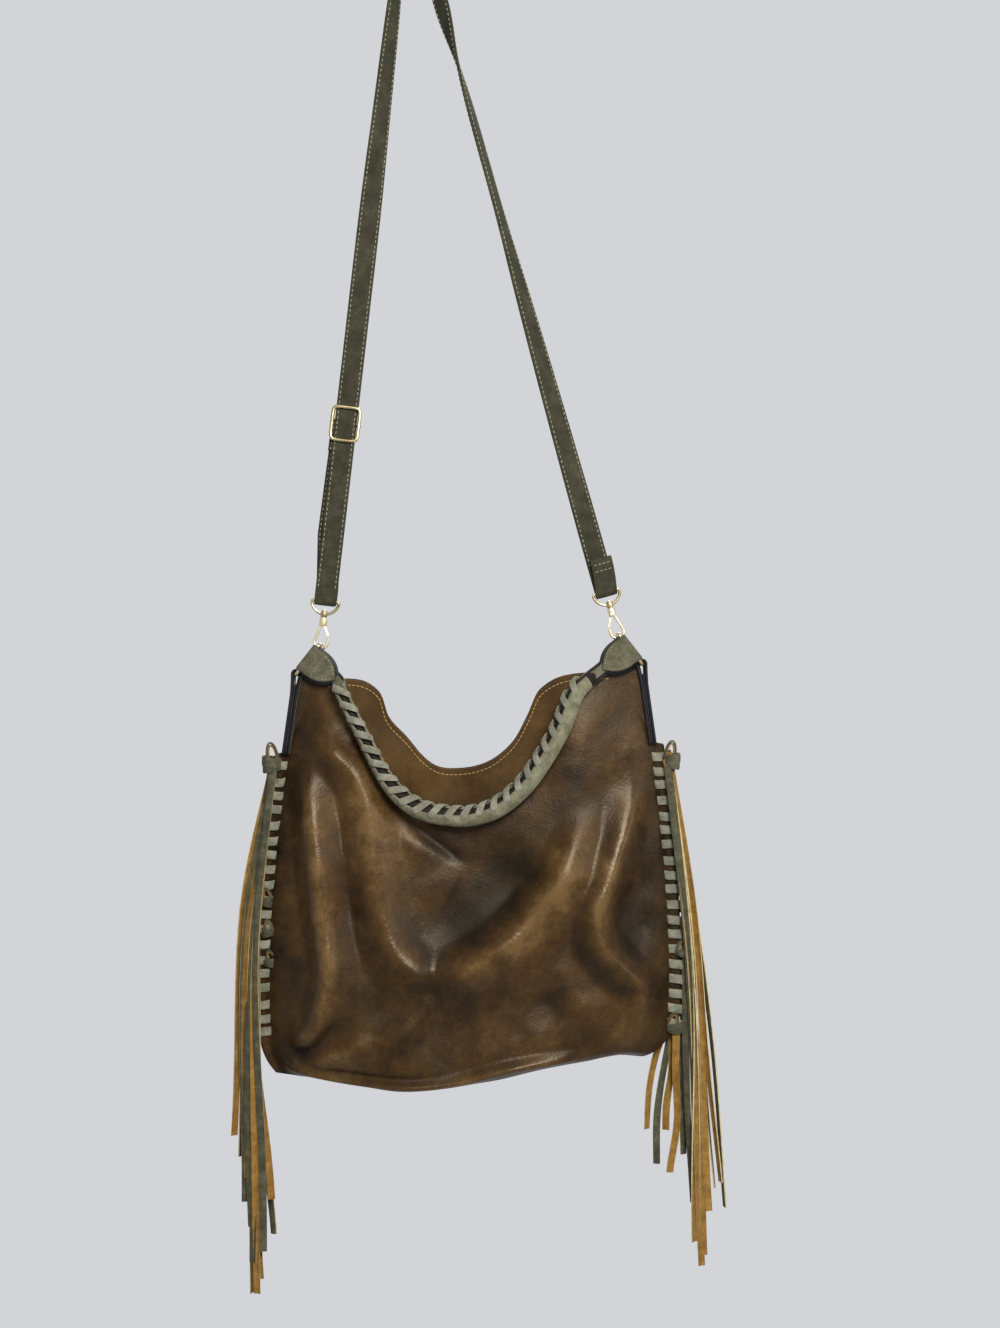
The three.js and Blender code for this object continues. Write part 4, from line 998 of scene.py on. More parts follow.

# %% [markdown]
# A bag that hangs empty folds where its weight pulls: two long ridges run down from the left corner, a
# deep drape swings across under the handle, and one ridge comes down from the right corner and kinks.
# Each fold is a stroke: a line in the photo, a height and a width. A stroke lifts the sheet along its
# line, and a stroke below zero sinks it. The sheet is shaped in this way, as one would sculpt it, so
# that these folds and no others appear.

# %% Body: its folds
# Each fold: places in the photo, height, half widths to the left and right of its way (mm), and
# the shares of its length that its two ends fade over.
FOLDS = {
    "front": (
        (((294, 728), (303, 775), (313, 826), (321, 900), (330, 960), (327, 991), (320, 1014), (309, 1031),
          (288, 1047)), 16, (32, 22), 0.3, 0.08),
        (((298, 764), (330, 754), (356, 768), (370, 813), (378, 881), (396, 945), (428, 974), (446, 990)),
         11, (30, 34), 0.15, 0.12),
        (((598, 790), (582, 824), (560, 870), (521, 921), (490, 947), (455, 966), (415, 966)),
         17, (46, 26), 0.45, 0.2),
        (((660, 738), (636, 796), (608, 878), (595, 912), (600, 938), (618, 960), (637, 980), (639, 1002),
          (626, 1024), (600, 1038)), 15, (24, 30), 0.4, 0.25),
        (((420, 880), (440, 915), (476, 910), (506, 880), (536, 840)), -6, (45, 45), 0.3, 0.3),
        (((652, 850), (634, 905), (654, 948)), -6, (28, 28), 0.3, 0.3),
        (((346, 850), (352, 915), (358, 965)), -4, (22, 26), 0.4, 0.6),
        (((398, 812), (436, 840), (470, 866)), -3, (9, 9), 0.3, 0.35),
        (((392, 826), (424, 850), (454, 872)), 1.5, (14, 18), 0.3, 0.4),
        (((281, 1050), (291, 1066), (328, 1075), (406, 1081), (444, 1078), (500, 1062), (562, 1051),
          (619, 1040)), 6.5, (11, 7), 0.06, 0.3),
        (((546, 980), (550, 1000), (562, 1020)), -5, (26, 28), 0.4, 0.4),
        (((566, 1008), (588, 998), (612, 996)), 2.5, (22, 22), 0.4, 0.4),
        (((436, 972), (424, 1004), (402, 1026), (370, 1040)), 5, (20, 22), 0.25, 0.4),
        (((302, 1061), (345, 1044), (396, 1026)), 5, (12, 20), 0.25, 0.5),
        (((291, 1055), (318, 1042), (337, 1020), (346, 998)), -8, (12, 13), 0.2, 0.4),
        (((300, 1061), (332, 1066), (410, 1070), (450, 1065)), -2.5, (7, 7), 0.3, 0.3),
        (((350, 1000), (376, 1006), (404, 990)), -2, (26, 26), 0.35, 0.35),
    ),
    "back": (
        (((640, 760), (625, 830), (618, 920), (600, 1000)), 9, (26, 26), 0.15, 0.25),
        (((560, 730), (545, 800), (520, 880), (480, 930)), 9, (30, 30), 0.2, 0.25),
        (((300, 750), (322, 830), (348, 910), (400, 960)), 10, (28, 28), 0.15, 0.25),
        (((420, 790), (455, 860), (500, 880)), -6, (44, 44), 0.3, 0.3),
        (((340, 800), (372, 880), (400, 920)), -5, (32, 32), 0.3, 0.3),
        (((590, 800), (572, 890), (560, 960)), -5, (32, 32), 0.3, 0.3),
        (((385, 690), (400, 730), (432, 752)), 2.5, (20, 20), 0.3, 0.3),
        (((533, 700), (512, 735), (480, 752)), 2.5, (20, 20), 0.3, 0.3),
    ),
}
print("folds:", {which: len(rows) for which, rows in FOLDS.items()})

# %% [markdown]
# To lift the sheet, each of its places looks for the nearest point of a stroke. The lift is full on the
# line and eases to nothing at the stroke's width and towards its two ends. A narrower crest on top
# keeps a ridge from looking like a pipe. Where ridges meet, they merge softly.

# %% Body: how a stroke lifts the sheet
CREST_NARROW = 1.9
CREST_SHARE = 0.1
STROKE_PLACES = 46


def nearest(x, z, line):
    """For each place on the sheet: its distance from a line, the share along it and the side of it."""
    best = np.full(x.shape, np.inf)
    share = np.zeros(x.shape)
    hand = np.zeros(x.shape)
    for i, (a, b) in enumerate(zip(line[:-1], line[1:])):
        way = b - a
        t = np.clip(((x - a[0]) * way[0] + (z - a[1]) * way[1]) / (way @ way), 0, 1)
        dx, dz = x - a[0] - t * way[0], z - a[1] - t * way[1]
        far = dx * dx + dz * dz
        near = far < best
        best = np.where(near, far, best)
        share = np.where(near, (i + t) / (len(line) - 1), share)
        hand = np.where(near, way[0] * dz - way[1] * dx, hand)
    return np.sqrt(best), share, hand


def stroke_lift(x, z, places, height, widths, fade_in, fade_out):
    """A fold's height over the sheet; widths are those to the left and right of its way."""
    line = smooth_line([(*spot(*p), 0) for p in places], STROKE_PLACES)[:, :2]
    far, share, hand = nearest(x, z, line)
    fade = np.clip(np.minimum(share / fade_in, (1 - share) / fade_out), 0, 1)
    away = np.clip(far / np.where(hand > 0, widths[0], widths[1]), 0, 1)
    crest = np.clip(away * CREST_NARROW, 0, 1)
    return height * ease(fade) * mix(1 - ease(away), 1 - ease(crest), CREST_SHARE)


def fold_height(which, x, z):
    """All folds of a sheet: ridges that meet merge softly, and the sunk strokes are taken off."""
    lifts = [stroke_lift(x, z, *row) for row in FOLDS[which]]
    raised = sum(np.maximum(lift, 0) ** 3 for lift in lifts) ** (1 / 3)
    return raised + sum(np.minimum(lift, 0) for lift in lifts)


here = np.array([spot(378, 881)])
print("front sheet's lift on its second ridge:", fold_height("front", *here.T).round(1), "mm")

# %% [markdown]
# Between the folds soft leather is never quite even. Fifteen faint waves, from 110 down to 19 mm long
# and each with a direction of its own, give each sheet its small unevenness.

# %% Body: faint ripples
RIPPLE_SIZES = ((110, 0.7), (75, 0.5), (48, 0.22), (30, 0.1), (19, 0.05))


def ripple_table(seed):
    dice = random.Random(seed)
    rows = []
    for wave, size in RIPPLE_SIZES:
        for _ in range(3):
            angle = dice.uniform(0, math.pi)
            rows.append((math.cos(angle) / wave, math.sin(angle) / wave, dice.uniform(0, 6.3), size))
    return rows


RIPPLES = {"front": ripple_table(3), "back": ripple_table(11)}


def ripple_height(which, x, z):
    return sum(
        size * np.sin(2 * math.pi * (x * across + z * upward) + phase)
        for across, upward, phase, size in RIPPLES[which]
    )


print("ripples in each sheet:", len(RIPPLES["front"]))

# %% [markdown]
# Now the outer face of a sheet can be told at any share across and down. Across, it spans the two laced
# edges; beside the side straps it is tucked in, and its lower corners are drawn in. In depth, it swells
# from the flat margins to the middle, and folds and ripples are added, calmer near the edges.

# %% Body: the sheet's surface
TUCK_REACH = 0.22
CORNER_REACH = 0.2
BELOW_SHOULDER = 12
TURN_FROM = 0.93
CALM_EDGE = 26
CALM_BOTTOM = 0.015
CALM_RIM = 0.12


def falling(share, reach):
    """One at the edge, and nought from a share on."""
    return np.clip(1 - share / reach, 0, 1)


def panel_x(u, v, drop):
    """The places across, with the outer limits of the sheet to the left and right."""
    raised = drop + SHOULDER_RAISE
    tuck = PANEL_TUCK * np.clip((SHOULDER - raised) / SHOULDER_STEP, 0, 1)
    below = SHOULDER + BELOW_SHOULDER
    swell = ease(np.clip((drop - PANEL_CORNER) / (below - PANEL_CORNER), 0, 1))
    edge = np.where(drop < below, edge_out(np.minimum(raised, below)), edge_out(drop))
    reach = np.maximum(edge, mix(edge_out(PANEL_CORNER), edge_out(below), swell))
    cut = edge + tuck - reach
    low, high = RING["left"][0] - reach, RING["right"][0] + reach
    x = mix(low, high, u) - cut * falling(u, TUCK_REACH) ** 2 + cut * falling(1 - u, TUCK_REACH) ** 2
    drawn = falling(1 - v, 1 - CORNER_FROM) ** 2
    inward = CORNER_IN["left"] * falling(u, CORNER_REACH) - CORNER_IN["right"] * falling(1 - u, CORNER_REACH)
    return x + drawn * inward, low, high


def panel_parts(which, u, v):
    """Points of a sheet's outer face, the height of its folds and the way in from its laced edge."""
    u, v = np.broadcast_arrays(np.asarray(u, float), np.asarray(v, float))
    drop = mix(rim_drop(which, u), BAG_DROP + bottom_dip(u), v)
    x, low, high = panel_x(u, v, drop)
    z = RING["left"][2] + RING_RISE * u - drop
    inside = np.minimum(x - low, high - x) - MARGIN
    side = np.sin(np.clip(inside / SIDE_ROUND, 0, 1) * math.pi / 2) ** 0.8
    closing = side * ease(np.clip((v - TURN_FROM) / (1 - TURN_FROM), 0, 1))
    least = SEAM_HALF + LEATHER * (1 - closing)
    calm = np.clip(inside / CALM_EDGE, 0, 1) * np.clip((1 - v) / CALM_BOTTOM, 0, 1)
    calm = calm * mix(0.35, 1, np.clip(v / CALM_RIM, 0, 1))
    fold = fold_height(which, x, z)
    proud = least + side * fullness(v) * BAG_DEPTH / 2 + (fold + ripple_height(which, x, z)) * calm
    depth = BAG_Y + FACING[which] * np.maximum(proud, least)
    return np.stack([x, depth, z], -1), fold * calm, inside


def panel_surface(which, u, v):
    return panel_parts(which, u, v)[0]


def panel_frame(which, u, v, step=0.003):
    """Points with their outward normals."""
    u, v = np.broadcast_arrays(np.asarray(u, float), np.asarray(v, float))
    right, left = (panel_surface(which, np.clip(u + way, 0, 1), v) for way in (step, -step))
    lower, upper = (panel_surface(which, u, np.clip(v + way, 0, 1)) for way in (step, -step))
    normal = unit(np.cross(right - left, lower - upper))
    flip = np.sign(normal[..., 1:2]) * FACING[which]
    return panel_surface(which, u, v), normal * np.where(flip == 0, 1, flip)


print("front sheet's middle, mm:", panel_surface("front", 0.5, 0.5).round(1))

# %% [markdown]
# Light and shade are painted into the film's colour: the crests are painted pale as highlights, and the
# steep flanks, the laced edges and the hollows dark as shade. Height and steepness of the folds give
# most of this by themselves. Strokes like those of the folds add the rest: painted shade below zero
# and painted highlights above.

# %% Body: painted light and shade on the film
# Each stroke: places in the photo, amount, half widths to the left and right, and fades, as above.
# Painted light and shade: strokes below zero paint shade into the drape's hollow, the creases and the
# bottom's underside, and strokes above zero paint highlights along crests and the bottom lip.
PAINTED_SHADING_STROKES = {
    "front": (
        (((424, 900), (450, 930), (490, 906), (522, 868), (554, 815)), -1.1, (42, 38), 0.3, 0.5),
        (((646, 880), (624, 925), (642, 965)), -0.6, (28, 28), 0.3, 0.3),
        (((310, 812), (321, 880), (329, 950), (326, 992), (314, 1020)), 0.4, (12, 12), 0.3, 0.3),
        (((366, 800), (377, 870), (396, 938), (428, 972)), 0.25, (12, 12), 0.4, 0.3),
        (((566, 860), (521, 921), (490, 947), (440, 968)), 0.2, (12, 10), 0.4, 0.3),
        (((644, 772), (622, 835), (603, 890), (596, 915), (606, 945)), 0.35, (11, 11), 0.3, 0.3),
        (((590, 870), (578, 930), (572, 985)), -0.6, (22, 22), 0.3, 0.3),
        (((345, 850), (350, 930), (366, 975)), -0.6, (22, 22), 0.3, 0.3),
        (((291, 1056), (318, 1042), (338, 1018), (346, 998)), -0.8, (12, 14), 0.2, 0.5),
        (((346, 1002), (372, 1006), (400, 994)), -0.3, (24, 24), 0.3, 0.3),
        (((306, 1062), (345, 1046), (400, 1028)), 0.7, (14, 24), 0.3, 0.5),
        (((325, 992), (320, 1013), (309, 1030), (288, 1046)), 0.5, (9, 9), 0.3, 0.15),
        (((322, 900), (331, 960), (326, 996)), 0.5, (14, 14), 0.4, 0.4),
        (((470, 1040), (520, 1030), (590, 1020)), 0.35, (40, 30), 0.5, 0.5),
        (((545, 975), (550, 1000), (564, 1020)), -0.5, (26, 26), 0.5, 0.5),
        (((281, 1052), (291, 1066), (328, 1075), (406, 1081), (444, 1078), (500, 1062), (562, 1051),
          (619, 1040)), 0.7, (9, 7), 0.15, 0.3),
        (((575, 715), (605, 720), (630, 735)), -0.7, (40, 40), 0.4, 0.4),
        (((396, 812), (436, 840), (466, 864)), -0.9, (6, 6), 0.2, 0.3),
        (((425, 838), (475, 838), (525, 815)), -0.45, (24, 24), 0.3, 0.3),
        (((282, 780), (284, 880), (278, 1000)), -0.45, (20, 20), 0.2, 0.2),
        (((592, 742), (574, 800), (556, 850)), -0.75, (26, 36), 0.3, 0.3),
        (((560, 1014), (600, 1008), (640, 1000)), 0.8, (34, 34), 0.3, 0.3),
        (((272, 1074), (330, 1082), (406, 1089), (475, 1081), (547, 1068), (594, 1060), (650, 1060)),
         -1.8, (8, 8), 0.03, 0.03),
    ),
    "back": (),
}
# Painted light from the folds: high folds are painted paler, and steep flanks and the laced edges darker as
# painted shade.
FOLD_HIGH = 15
FOLD_STEEP = 2.4
FLANK_PAINTED_SHADE = 0.5
EDGE_PAINTED_SHADE = 0.45
PAINTED_SHADING_RANGE = (-1.8, 1.2)


def painted_shading_map(which, points, fold, inside):
    """The painted light and shade at each point of a sheet: painted highlights above zero, painted shade
    below.
    """
    steep = np.clip(np.hypot(*np.gradient(fold)) / FOLD_STEEP, 0, 1)
    painted_shading = fold / FOLD_HIGH - FLANK_PAINTED_SHADE * steep - EDGE_PAINTED_SHADE * falling(inside, CALM_EDGE)
    painted_shading = painted_shading + sum(stroke_lift(points[..., 0], points[..., 2], *row) for row in PAINTED_SHADING_STROKES[which])
    return np.clip(painted_shading, *PAINTED_SHADING_RANGE)


# These strokes paint light and shade into the colour.
print("strokes of wear:", {which: len(rows) for which, rows in PAINTED_SHADING_STROKES.items()})

# %% [markdown]
# Each sheet is a fine grid of its outer face, closer in its lowest tenth, where it turns in. The inner
# face could be made in the same way, but a solidify modifier follows the folds by itself. It gives the
# leather's 2 mm, with a plain inner face and a black edge.

# %% Body: front and back
PANEL_COLUMNS = 190
UPPER_ROWS = 141
LOWER_ROWS = 24
LOWER_FROM = 0.9


def grid_faces(rows, columns, flipped):
    faces = []
    for i in range(rows - 1):
        for k in range(columns - 1):
            a = i * columns + k
            square = (a, a + columns, a + columns + 1, a + 1)
            faces.append(square[::-1] if flipped else square)
    return faces


def body_panel(which, name, node_name):
    u = np.linspace(0, 1, PANEL_COLUMNS)
    lower = np.linspace(LOWER_FROM, 1, LOWER_ROWS + 1)[1:]
    v = np.concatenate([np.linspace(0, LOWER_FROM, UPPER_ROWS), lower])
    points, fold, inside = panel_parts(which, u[None], v[:, None])
    faces = grid_faces(len(v), len(u), which == "back")
    made = make(name, points.reshape(-1, 3), faces, [body_leather, inner_leather, black_edge])
    # Each point keeps the painted light and shade of its folds, for the leather's colour and gloss.
    wear_and_painted_shade = made.data.attributes.new("painted_shading", "FLOAT", "POINT")
    wear_and_painted_shade.data.foreach_set("value", painted_shading_map(which, points, fold, inside).ravel())
    wall = made.modifiers.new("leather_thickness", "SOLIDIFY")
    wall.thickness = LEATHER * METRE
    wall.offset = -1
    wall.use_even_offset = True
    wall.thickness_clamp = 1
    wall.material_offset = 1
    wall.material_offset_rim = 2
    apply_modifiers(made)
    finish(made, "bag", "leather", node_name)
    print(name, "faces:", len(made.data.polygons))


body_panel("front", "front_leather", "front_panel")
body_panel("back", "back_leather", "back_panel")

# %% [markdown]
# A row of tan stitches runs 6 mm under each rim. Its line is found on the same surface as the panel,
# so it rides over the folds with the leather. The thread shows on both faces.

# %% Rim stitches
RIM_SEAM = 6
RIM_SPAN = (0.085, 0.915)


def rim_thread(which):
    u = np.linspace(*RIM_SPAN, 260)
    v = RIM_SEAM / (BAG_DROP + bottom_dip(u) - rim_drop(which, u))
    place, normal = panel_frame(which, u, v)
    faces = (("out", place, normal), ("in", place - normal * LEATHER, -normal))
    rows = [stitch_row(f"{which}_rim_{face}", *row, tan_thread, 4.0, 3.6, 0.42) for face, *row in faces]
    return finish(joined(f"{which}_rim_thread", rows), "bag", "leather")


for which in FACING:
    print(rim_thread(which).name, "done")

# %% [markdown]
# The front panel's two top corners carry a black painted binding, which shows between the side strap
# and the start of the handle. It is a rounded band that sits astride the rim.

# %% Corner bindings
BINDINGS = {"left": (0.004, 0.125), "right": (0.86, 0.996)}
BINDING_HIGH = 4.2
BINDING_OVER = 0.6


def corner_binding(side):
    u = np.linspace(*BINDINGS[side], 40)
    rim, normal = panel_frame("front", u, np.full_like(u, 0.002))
    line = rim - normal * (LEATHER / 2) - HIGH * BINDING_OVER
    forward = headings(line)
    across = unit(np.cross(HIGH, forward))
    section = band(LEATHER + 1.4, BINDING_HIGH, 1.2)
    return sweep(f"{side}_binding", line, across, section, black_edge, unit(np.cross(forward, across)))


bindings = finish(joined("front_corner_bindings", [corner_binding(side) for side in SIDES]), "bag", "edge")
print("corner bindings:", len(bindings.data.polygons), "faces")

# %% [markdown]
# The sides are whip-laced: one flat suede lace goes through a slot, over the front, round the edge
# and back to the next slot. Seen along the edge, the lace is a spring with an oval turn, so it is
# swept along such a spring. Separate rings would be simpler, but they wouldn't slant from slot to slot
# and leave the dark gaps between them that one lace leaves.

# %% Side laces
LACE_TOP = SHOULDER + 7.4
LACE_BOTTOM = BAG_DROP - 29
LACE_PITCH = 13.4
LACE_WIDTH = 8.0
LACE_THICK = 1.3
LACE_INSET = 12.5
LACE_OVER = 2.2
LACE_RISE = 4.4
TURN_STEPS = 26


def margin_at(side, drop):
    """A place on the laced edge, with its downward and outward directions."""
    drop = np.asarray(drop, float)

    def point(d):
        x = RING[side][0] + OUT[side] * edge_out(d)
        return np.stack([x, np.full_like(d, BAG_Y), RING[side][2] - d], -1)

    down = unit(point(drop + 1) - point(drop - 1))
    out = np.stack([-down[..., 2], np.zeros_like(drop), down[..., 0]], -1) * OUT[side]
    return point(drop), down, out


def squared(wave, power):
    """A wave with fuller shoulders."""
    return np.sign(wave) * np.abs(wave) ** power


def side_lace(side):
    turns = int((LACE_BOTTOM - LACE_TOP) / LACE_PITCH) + 1
    t = np.linspace(0, turns - 0.35, turns * TURN_STEPS)
    slow = 0.1 * np.sin(2 * math.pi * t + math.pi * 0.45)
    place, down, out = margin_at(side, LACE_TOP - 3 + (t + slow) * LACE_PITCH)
    angle = (2 * math.pi * t + math.pi * 0.95)[:, None]
    c, s = np.cos(angle), np.sin(angle)
    reach = squared(c, 0.7) * (LACE_INSET + LACE_OVER) / 2 + (LACE_OVER - LACE_INSET) / 2
    waves = ((1.7, OUT[side], 0.9), (4.3, 2, 0.6), (7.9, 4, 0.35))
    loose = sum(size * np.sin(wave * t + phase) for wave, phase, size in waves)[:, None]
    line = place + out * (reach + 0.5 * loose) + DEEP * squared(s, 0.6) * LACE_RISE + down * loose
    across = unit(np.cross(headings(line), out * c + DEEP * s))
    section = band(LACE_WIDTH, LACE_THICK, 0.5, 0.35)
    lace = sweep(f"{side}_whip_lace", line, across, section, lace_suede)
    finish(lace, "bag", "suede", f"{side}_side_lace")
    print(side, "lace turns:", turns)


for side in SIDES:
    side_lace(side)

# %% [markdown]
# The handle is a soft cord: a dark core inside an olive suede sleeve. The sleeve is a strip bent
# round the core, and its two long edges are laced together by bands that cross the gap on the slant.
# Between the bands the dark core shows as little leaning windows, 23 of them in the photo. On the
# left the gap faces the viewer; from the lowest point on it has rolled to the top.

# %% Handle: its line
RING_TILT = math.radians(52)
RING_LENGTH = 34
RING_BREADTH = 20
RING_WIRE = 3.4
TAB_MIDDLE = 16
TAB_LENGTH = 31
TAB_HOLDS = (0.42, 0.7, 1)
HANDLE_DROP = 152
HANDLE_FRONT = 26
# The handle's low part: shares of the rings' spacing and of the handle's drop.
HANDLE_LOW = (
    (0.234, 0.8), (0.294, 0.913), (0.355, 0.972), (0.44, 1),
    (0.506, 1), (0.583, 0.96), (0.647, 0.883), (0.704, 0.777),
)


def ring_axis(side):
    return v3(OUT[side] * math.cos(RING_TILT), 0, -math.sin(RING_TILT))


def tab_way(side):
    return v3(-OUT[side] * math.sin(RING_TILT), 0, -math.cos(RING_TILT))


def tab_place(side, reach=0):
    place = RING[side] + ring_axis(side) * TAB_MIDDLE + tab_way(side) * reach
    return place - DEEP * (RING_BREADTH / 2)


def handle_places():
    """The places that the handle goes through, from the left tab to the right one."""

    def hang(x, drop, front):
        return v3(x, -front * HANDLE_FRONT, RING["left"][2] - drop * HANDLE_DROP)

    left, right = RING["left"][0], RING["right"][0]
    leaving = [hang(left + 19.56, 0.268, 0.7), hang(left + 39.4, 0.522, 0.92)]
    arriving = [hang(right - 53.6, 0.505, 0.92), hang(right - 37.79, 0.268, 0.7)]
    ends = {side: [tab_place(side, TAB_LENGTH * share) for share in TAB_HOLDS] for side in SIDES}
    bottom = [hang(left + share * RING_SPACING, drop, 1) for share, drop in HANDLE_LOW]
    return ends["left"] + leaving + bottom + arriving + ends["right"][::-1]


handle_line = smooth_line(handle_places(), 700)
handle_run = lengths(handle_line)
HANDLE_LENGTH = handle_run[-1]
print("handle length", round(HANDLE_LENGTH, 1), "mm")

# %% [markdown]
# Along this line the sleeve's gap turns from the front to the top, and the sleeve grows from its left
# end to its full size. Two helpers tell the handle's ways across and up, and the way to the gap.

# %% Handle: its gap and size
seam_facing = through([(0, -82), (0.3, -68), (0.45, -35), (0.6, -22), (1, -16)])
sleeve_size = through([(0, 5.6), (0.12, 6.0), (0.25, 6.6), (0.4, 8.6), (0.85, 8.8), (0.95, 7.6), (1, 6.4)])


def handle_frame(at):
    """Place, across and up of the handle at distances along it."""
    forward = unit(walked(at, handle_run, headings(handle_line)))
    across = unit(np.cross(forward, DEEP))
    return walked(at, handle_run, handle_line), across, unit(np.cross(across, forward))


def seam_frame(at):
    """Place, the way to the sleeve's gap, the way beside it and the sleeve's radius."""
    place, across, up = handle_frame(at)
    turn = np.radians(seam_facing(at / HANDLE_LENGTH))[:, None]
    gap = across * np.cos(turn) + up * np.sin(turn)
    beside = up * np.cos(turn) - across * np.sin(turn)
    return place, gap, beside, sleeve_size(at / HANDLE_LENGTH)


print("sleeve radius at the handle's middle:", sleeve_size(0.5).round(1), "mm")

# %% [markdown]
# The core and the sleeve are swept along the line. The core is flat at its ends and round inside the
# sleeve. The sleeve's section is an open ring with a wall, and not a tube that is cut later, because the
# gap rolls round the handle on its way.

# %% Handle: core and sleeve
SLEEVE_START = 28
SLEEVE_END = 38
SLEEVE_WALL = 1.8
SLEEVE_GAP = math.radians(46)
SLEEVE_RIBS = 26
CORE_SLACK = 0.4
CORE_FLAT = np.array([6.5, 1.6])
CORE_FLAT_END = 24
CORE_ROUNDING = 18


def handle_core():
    at = np.linspace(0, HANDLE_LENGTH, 220)
    from_end = np.minimum(at, HANDLE_LENGTH - at)
    rounding = np.clip((from_end - CORE_FLAT_END) / CORE_ROUNDING, 0, 1)[:, None, None]
    radius = (sleeve_size(at / HANDLE_LENGTH) - SLEEVE_WALL - CORE_SLACK)[:, None, None]
    outline = disc(1, 16) * mix(CORE_FLAT, radius, rounding)
    place, across, up = handle_frame(at)
    return sweep("dark_handle_cord", place, across, outline, dark_core, up)


def handle_sleeve():
    at = np.linspace(SLEEVE_START, HANDLE_LENGTH - SLEEVE_END, 300)
    place, gap, beside, radius = seam_frame(at)
    angle = np.linspace(SLEEVE_GAP, 2 * math.pi - SLEEVE_GAP, SLEEVE_RIBS)
    ring = np.stack([np.cos(angle), np.sin(angle)], 1)
    outer = ring[None] * radius[:, None, None]
    inner = ring[None, ::-1] * (radius - SLEEVE_WALL)[:, None, None]
    return sweep("olive_handle_sleeve", place, gap, np.concatenate([outer, inner], 1), sleeve_suede, beside)


core = finish(handle_core(), "bag", "edge", "handle_core")
sleeve = finish(handle_sleeve(), "bag", "suede", "handle_sleeve")
print("handle:", len(core.data.polygons), "faces in the core,", len(sleeve.data.polygons), "in the sleeve")

# %% [markdown]
# The sleeve starts with a square cut just past the tip of the tab. Between the two, the handle's flat
# ends lie open: thin layers with black painted edges, fanned out a little towards the tab.

# %% Handle: its flat ends
# Each layer: lift, shift to the side at the tab, width and face.
LEAVES = ((-1.7, 1.2, 8.5, tab_suede), (-0.2, -0.6, 13, black_edge), (1.6, 1.5, 12.5, tab_suede))
LEAF_THICK = 1.4
LEAF_SPANS = {"left": (2, SLEEVE_START + 8), "right": (2, SLEEVE_END + 8)}


def edged_band(name, line, across, widths, thick, face_material, up=None):
    """A band whose cut edges are painted black; its width may change along the way."""
    widths = np.broadcast_to(widths, len(line))
    outline = np.stack([band(w, thick, thick * 0.3) for w in widths])
    points, faces, uv = sweep_arrays(line, across, outline, up)
    n = outline.shape[1]
    painted = {n // 2 - k for k in (1, 2, 3)} | {n - k for k in (1, 2, 3)}
    slots = [1 if i % n in painted else 0 for i in range(len(faces) - 2)] + [1, 1]
    return outward(make(name, points, faces, [face_material, black_edge], uv, slots))


def handle_leaves(side):
    at = np.linspace(*LEAF_SPANS[side], 24)
    place, across, up = handle_frame(at if side == "left" else HANDLE_LENGTH - at)
    fan = np.linspace(1, 0, len(at))[:, None]
    parts = []
    for lift, shift, wide, face in LEAVES:
        line = place + up * lift + across * shift * fan
        parts.append(edged_band(f"{side}_handle_leaf", line, across, wide, LEAF_THICK, face, up))
    return finish(joined(f"{side}_handle_leaves", parts), "bag", "suede")


for side in SIDES:
    print(handle_leaves(side).name, "layers:", len(LEAVES))

# %% [markdown]
# Each lacing band goes over one edge of the sleeve, crosses the gap on the slant and dives under the
# other edge. So a band is an arc a little outside the sleeve, wider than the gap, with its two ends
# bent down into the suede.

# %% Handle: lacing bands
WINDOWS = 23
BAND_WIDE = 6.4
BAND_THICK = 1.3
BAND_SLANT = 7.5
BAND_ARC = math.radians(74)
BAND_OVER = 0.55
BAND_DIVE = 2.6
DIVE_FROM = 0.72
LACING_END = 9


def lacing_band(index, middle):
    share = np.linspace(-1, 1, 17)
    place, gap, beside, radius = seam_frame(middle + share * BAND_SLANT)
    angle = (share * BAND_ARC)[:, None]
    dive = np.clip((np.abs(share) - DIVE_FROM) / (1 - DIVE_FROM), 0, 1) ** 2
    way = gap * np.cos(angle) + beside * np.sin(angle)
    line = place + way * (radius + BAND_OVER - BAND_DIVE * dive)[:, None]
    across = unit(np.cross(headings(line), way))
    return sweep(f"lacing_band_{index}", line, across, band(BAND_WIDE, BAND_THICK, 0.5, 0.3), lace_suede)


laced = (SLEEVE_START + LACING_END, HANDLE_LENGTH - SLEEVE_END - LACING_END)
bands = [lacing_band(i, middle) for i, middle in enumerate(np.linspace(*laced, WINDOWS + 1))]
print("handle lacing:", len(bands), "bands")
finish(joined("handle_lacing_bands", bands), "bag", "suede", "handle_lace")

# %% [markdown]
# Each handle end is held by a tab: a strip of olive leather folded over the ring's front bar and cut
# to a leaf, with black painted edges and a line of stitches just inside them. The leaf could be cut out
# of a sheet; a band whose width changes along the way gives the fold, the leaf and its painted edges at
# once. A slightly larger black layer lies inside the fold and shows as a dark line round the leaf.

# %% Handle tabs
TAB_HALF = 13.5
TAB_STRAIGHT = 8
TAB_CONTROL = 22.3
TAB_LEATHER = 2
TAB_FOLD = RING_WIRE / 2 + 0.3 + TAB_LEATHER / 2
UNDERLAY_OVER = 2.6


def leaf_half(reach):
    """Half the leaf's width at a distance from the fold."""
    t = np.linspace(0, 1, 60)
    along = (1 - t) ** 2 * TAB_STRAIGHT + 2 * t * (1 - t) * TAB_CONTROL + t * t * TAB_LENGTH
    return np.interp(np.maximum(reach, 0), along, (1 - t * t) * TAB_HALF)


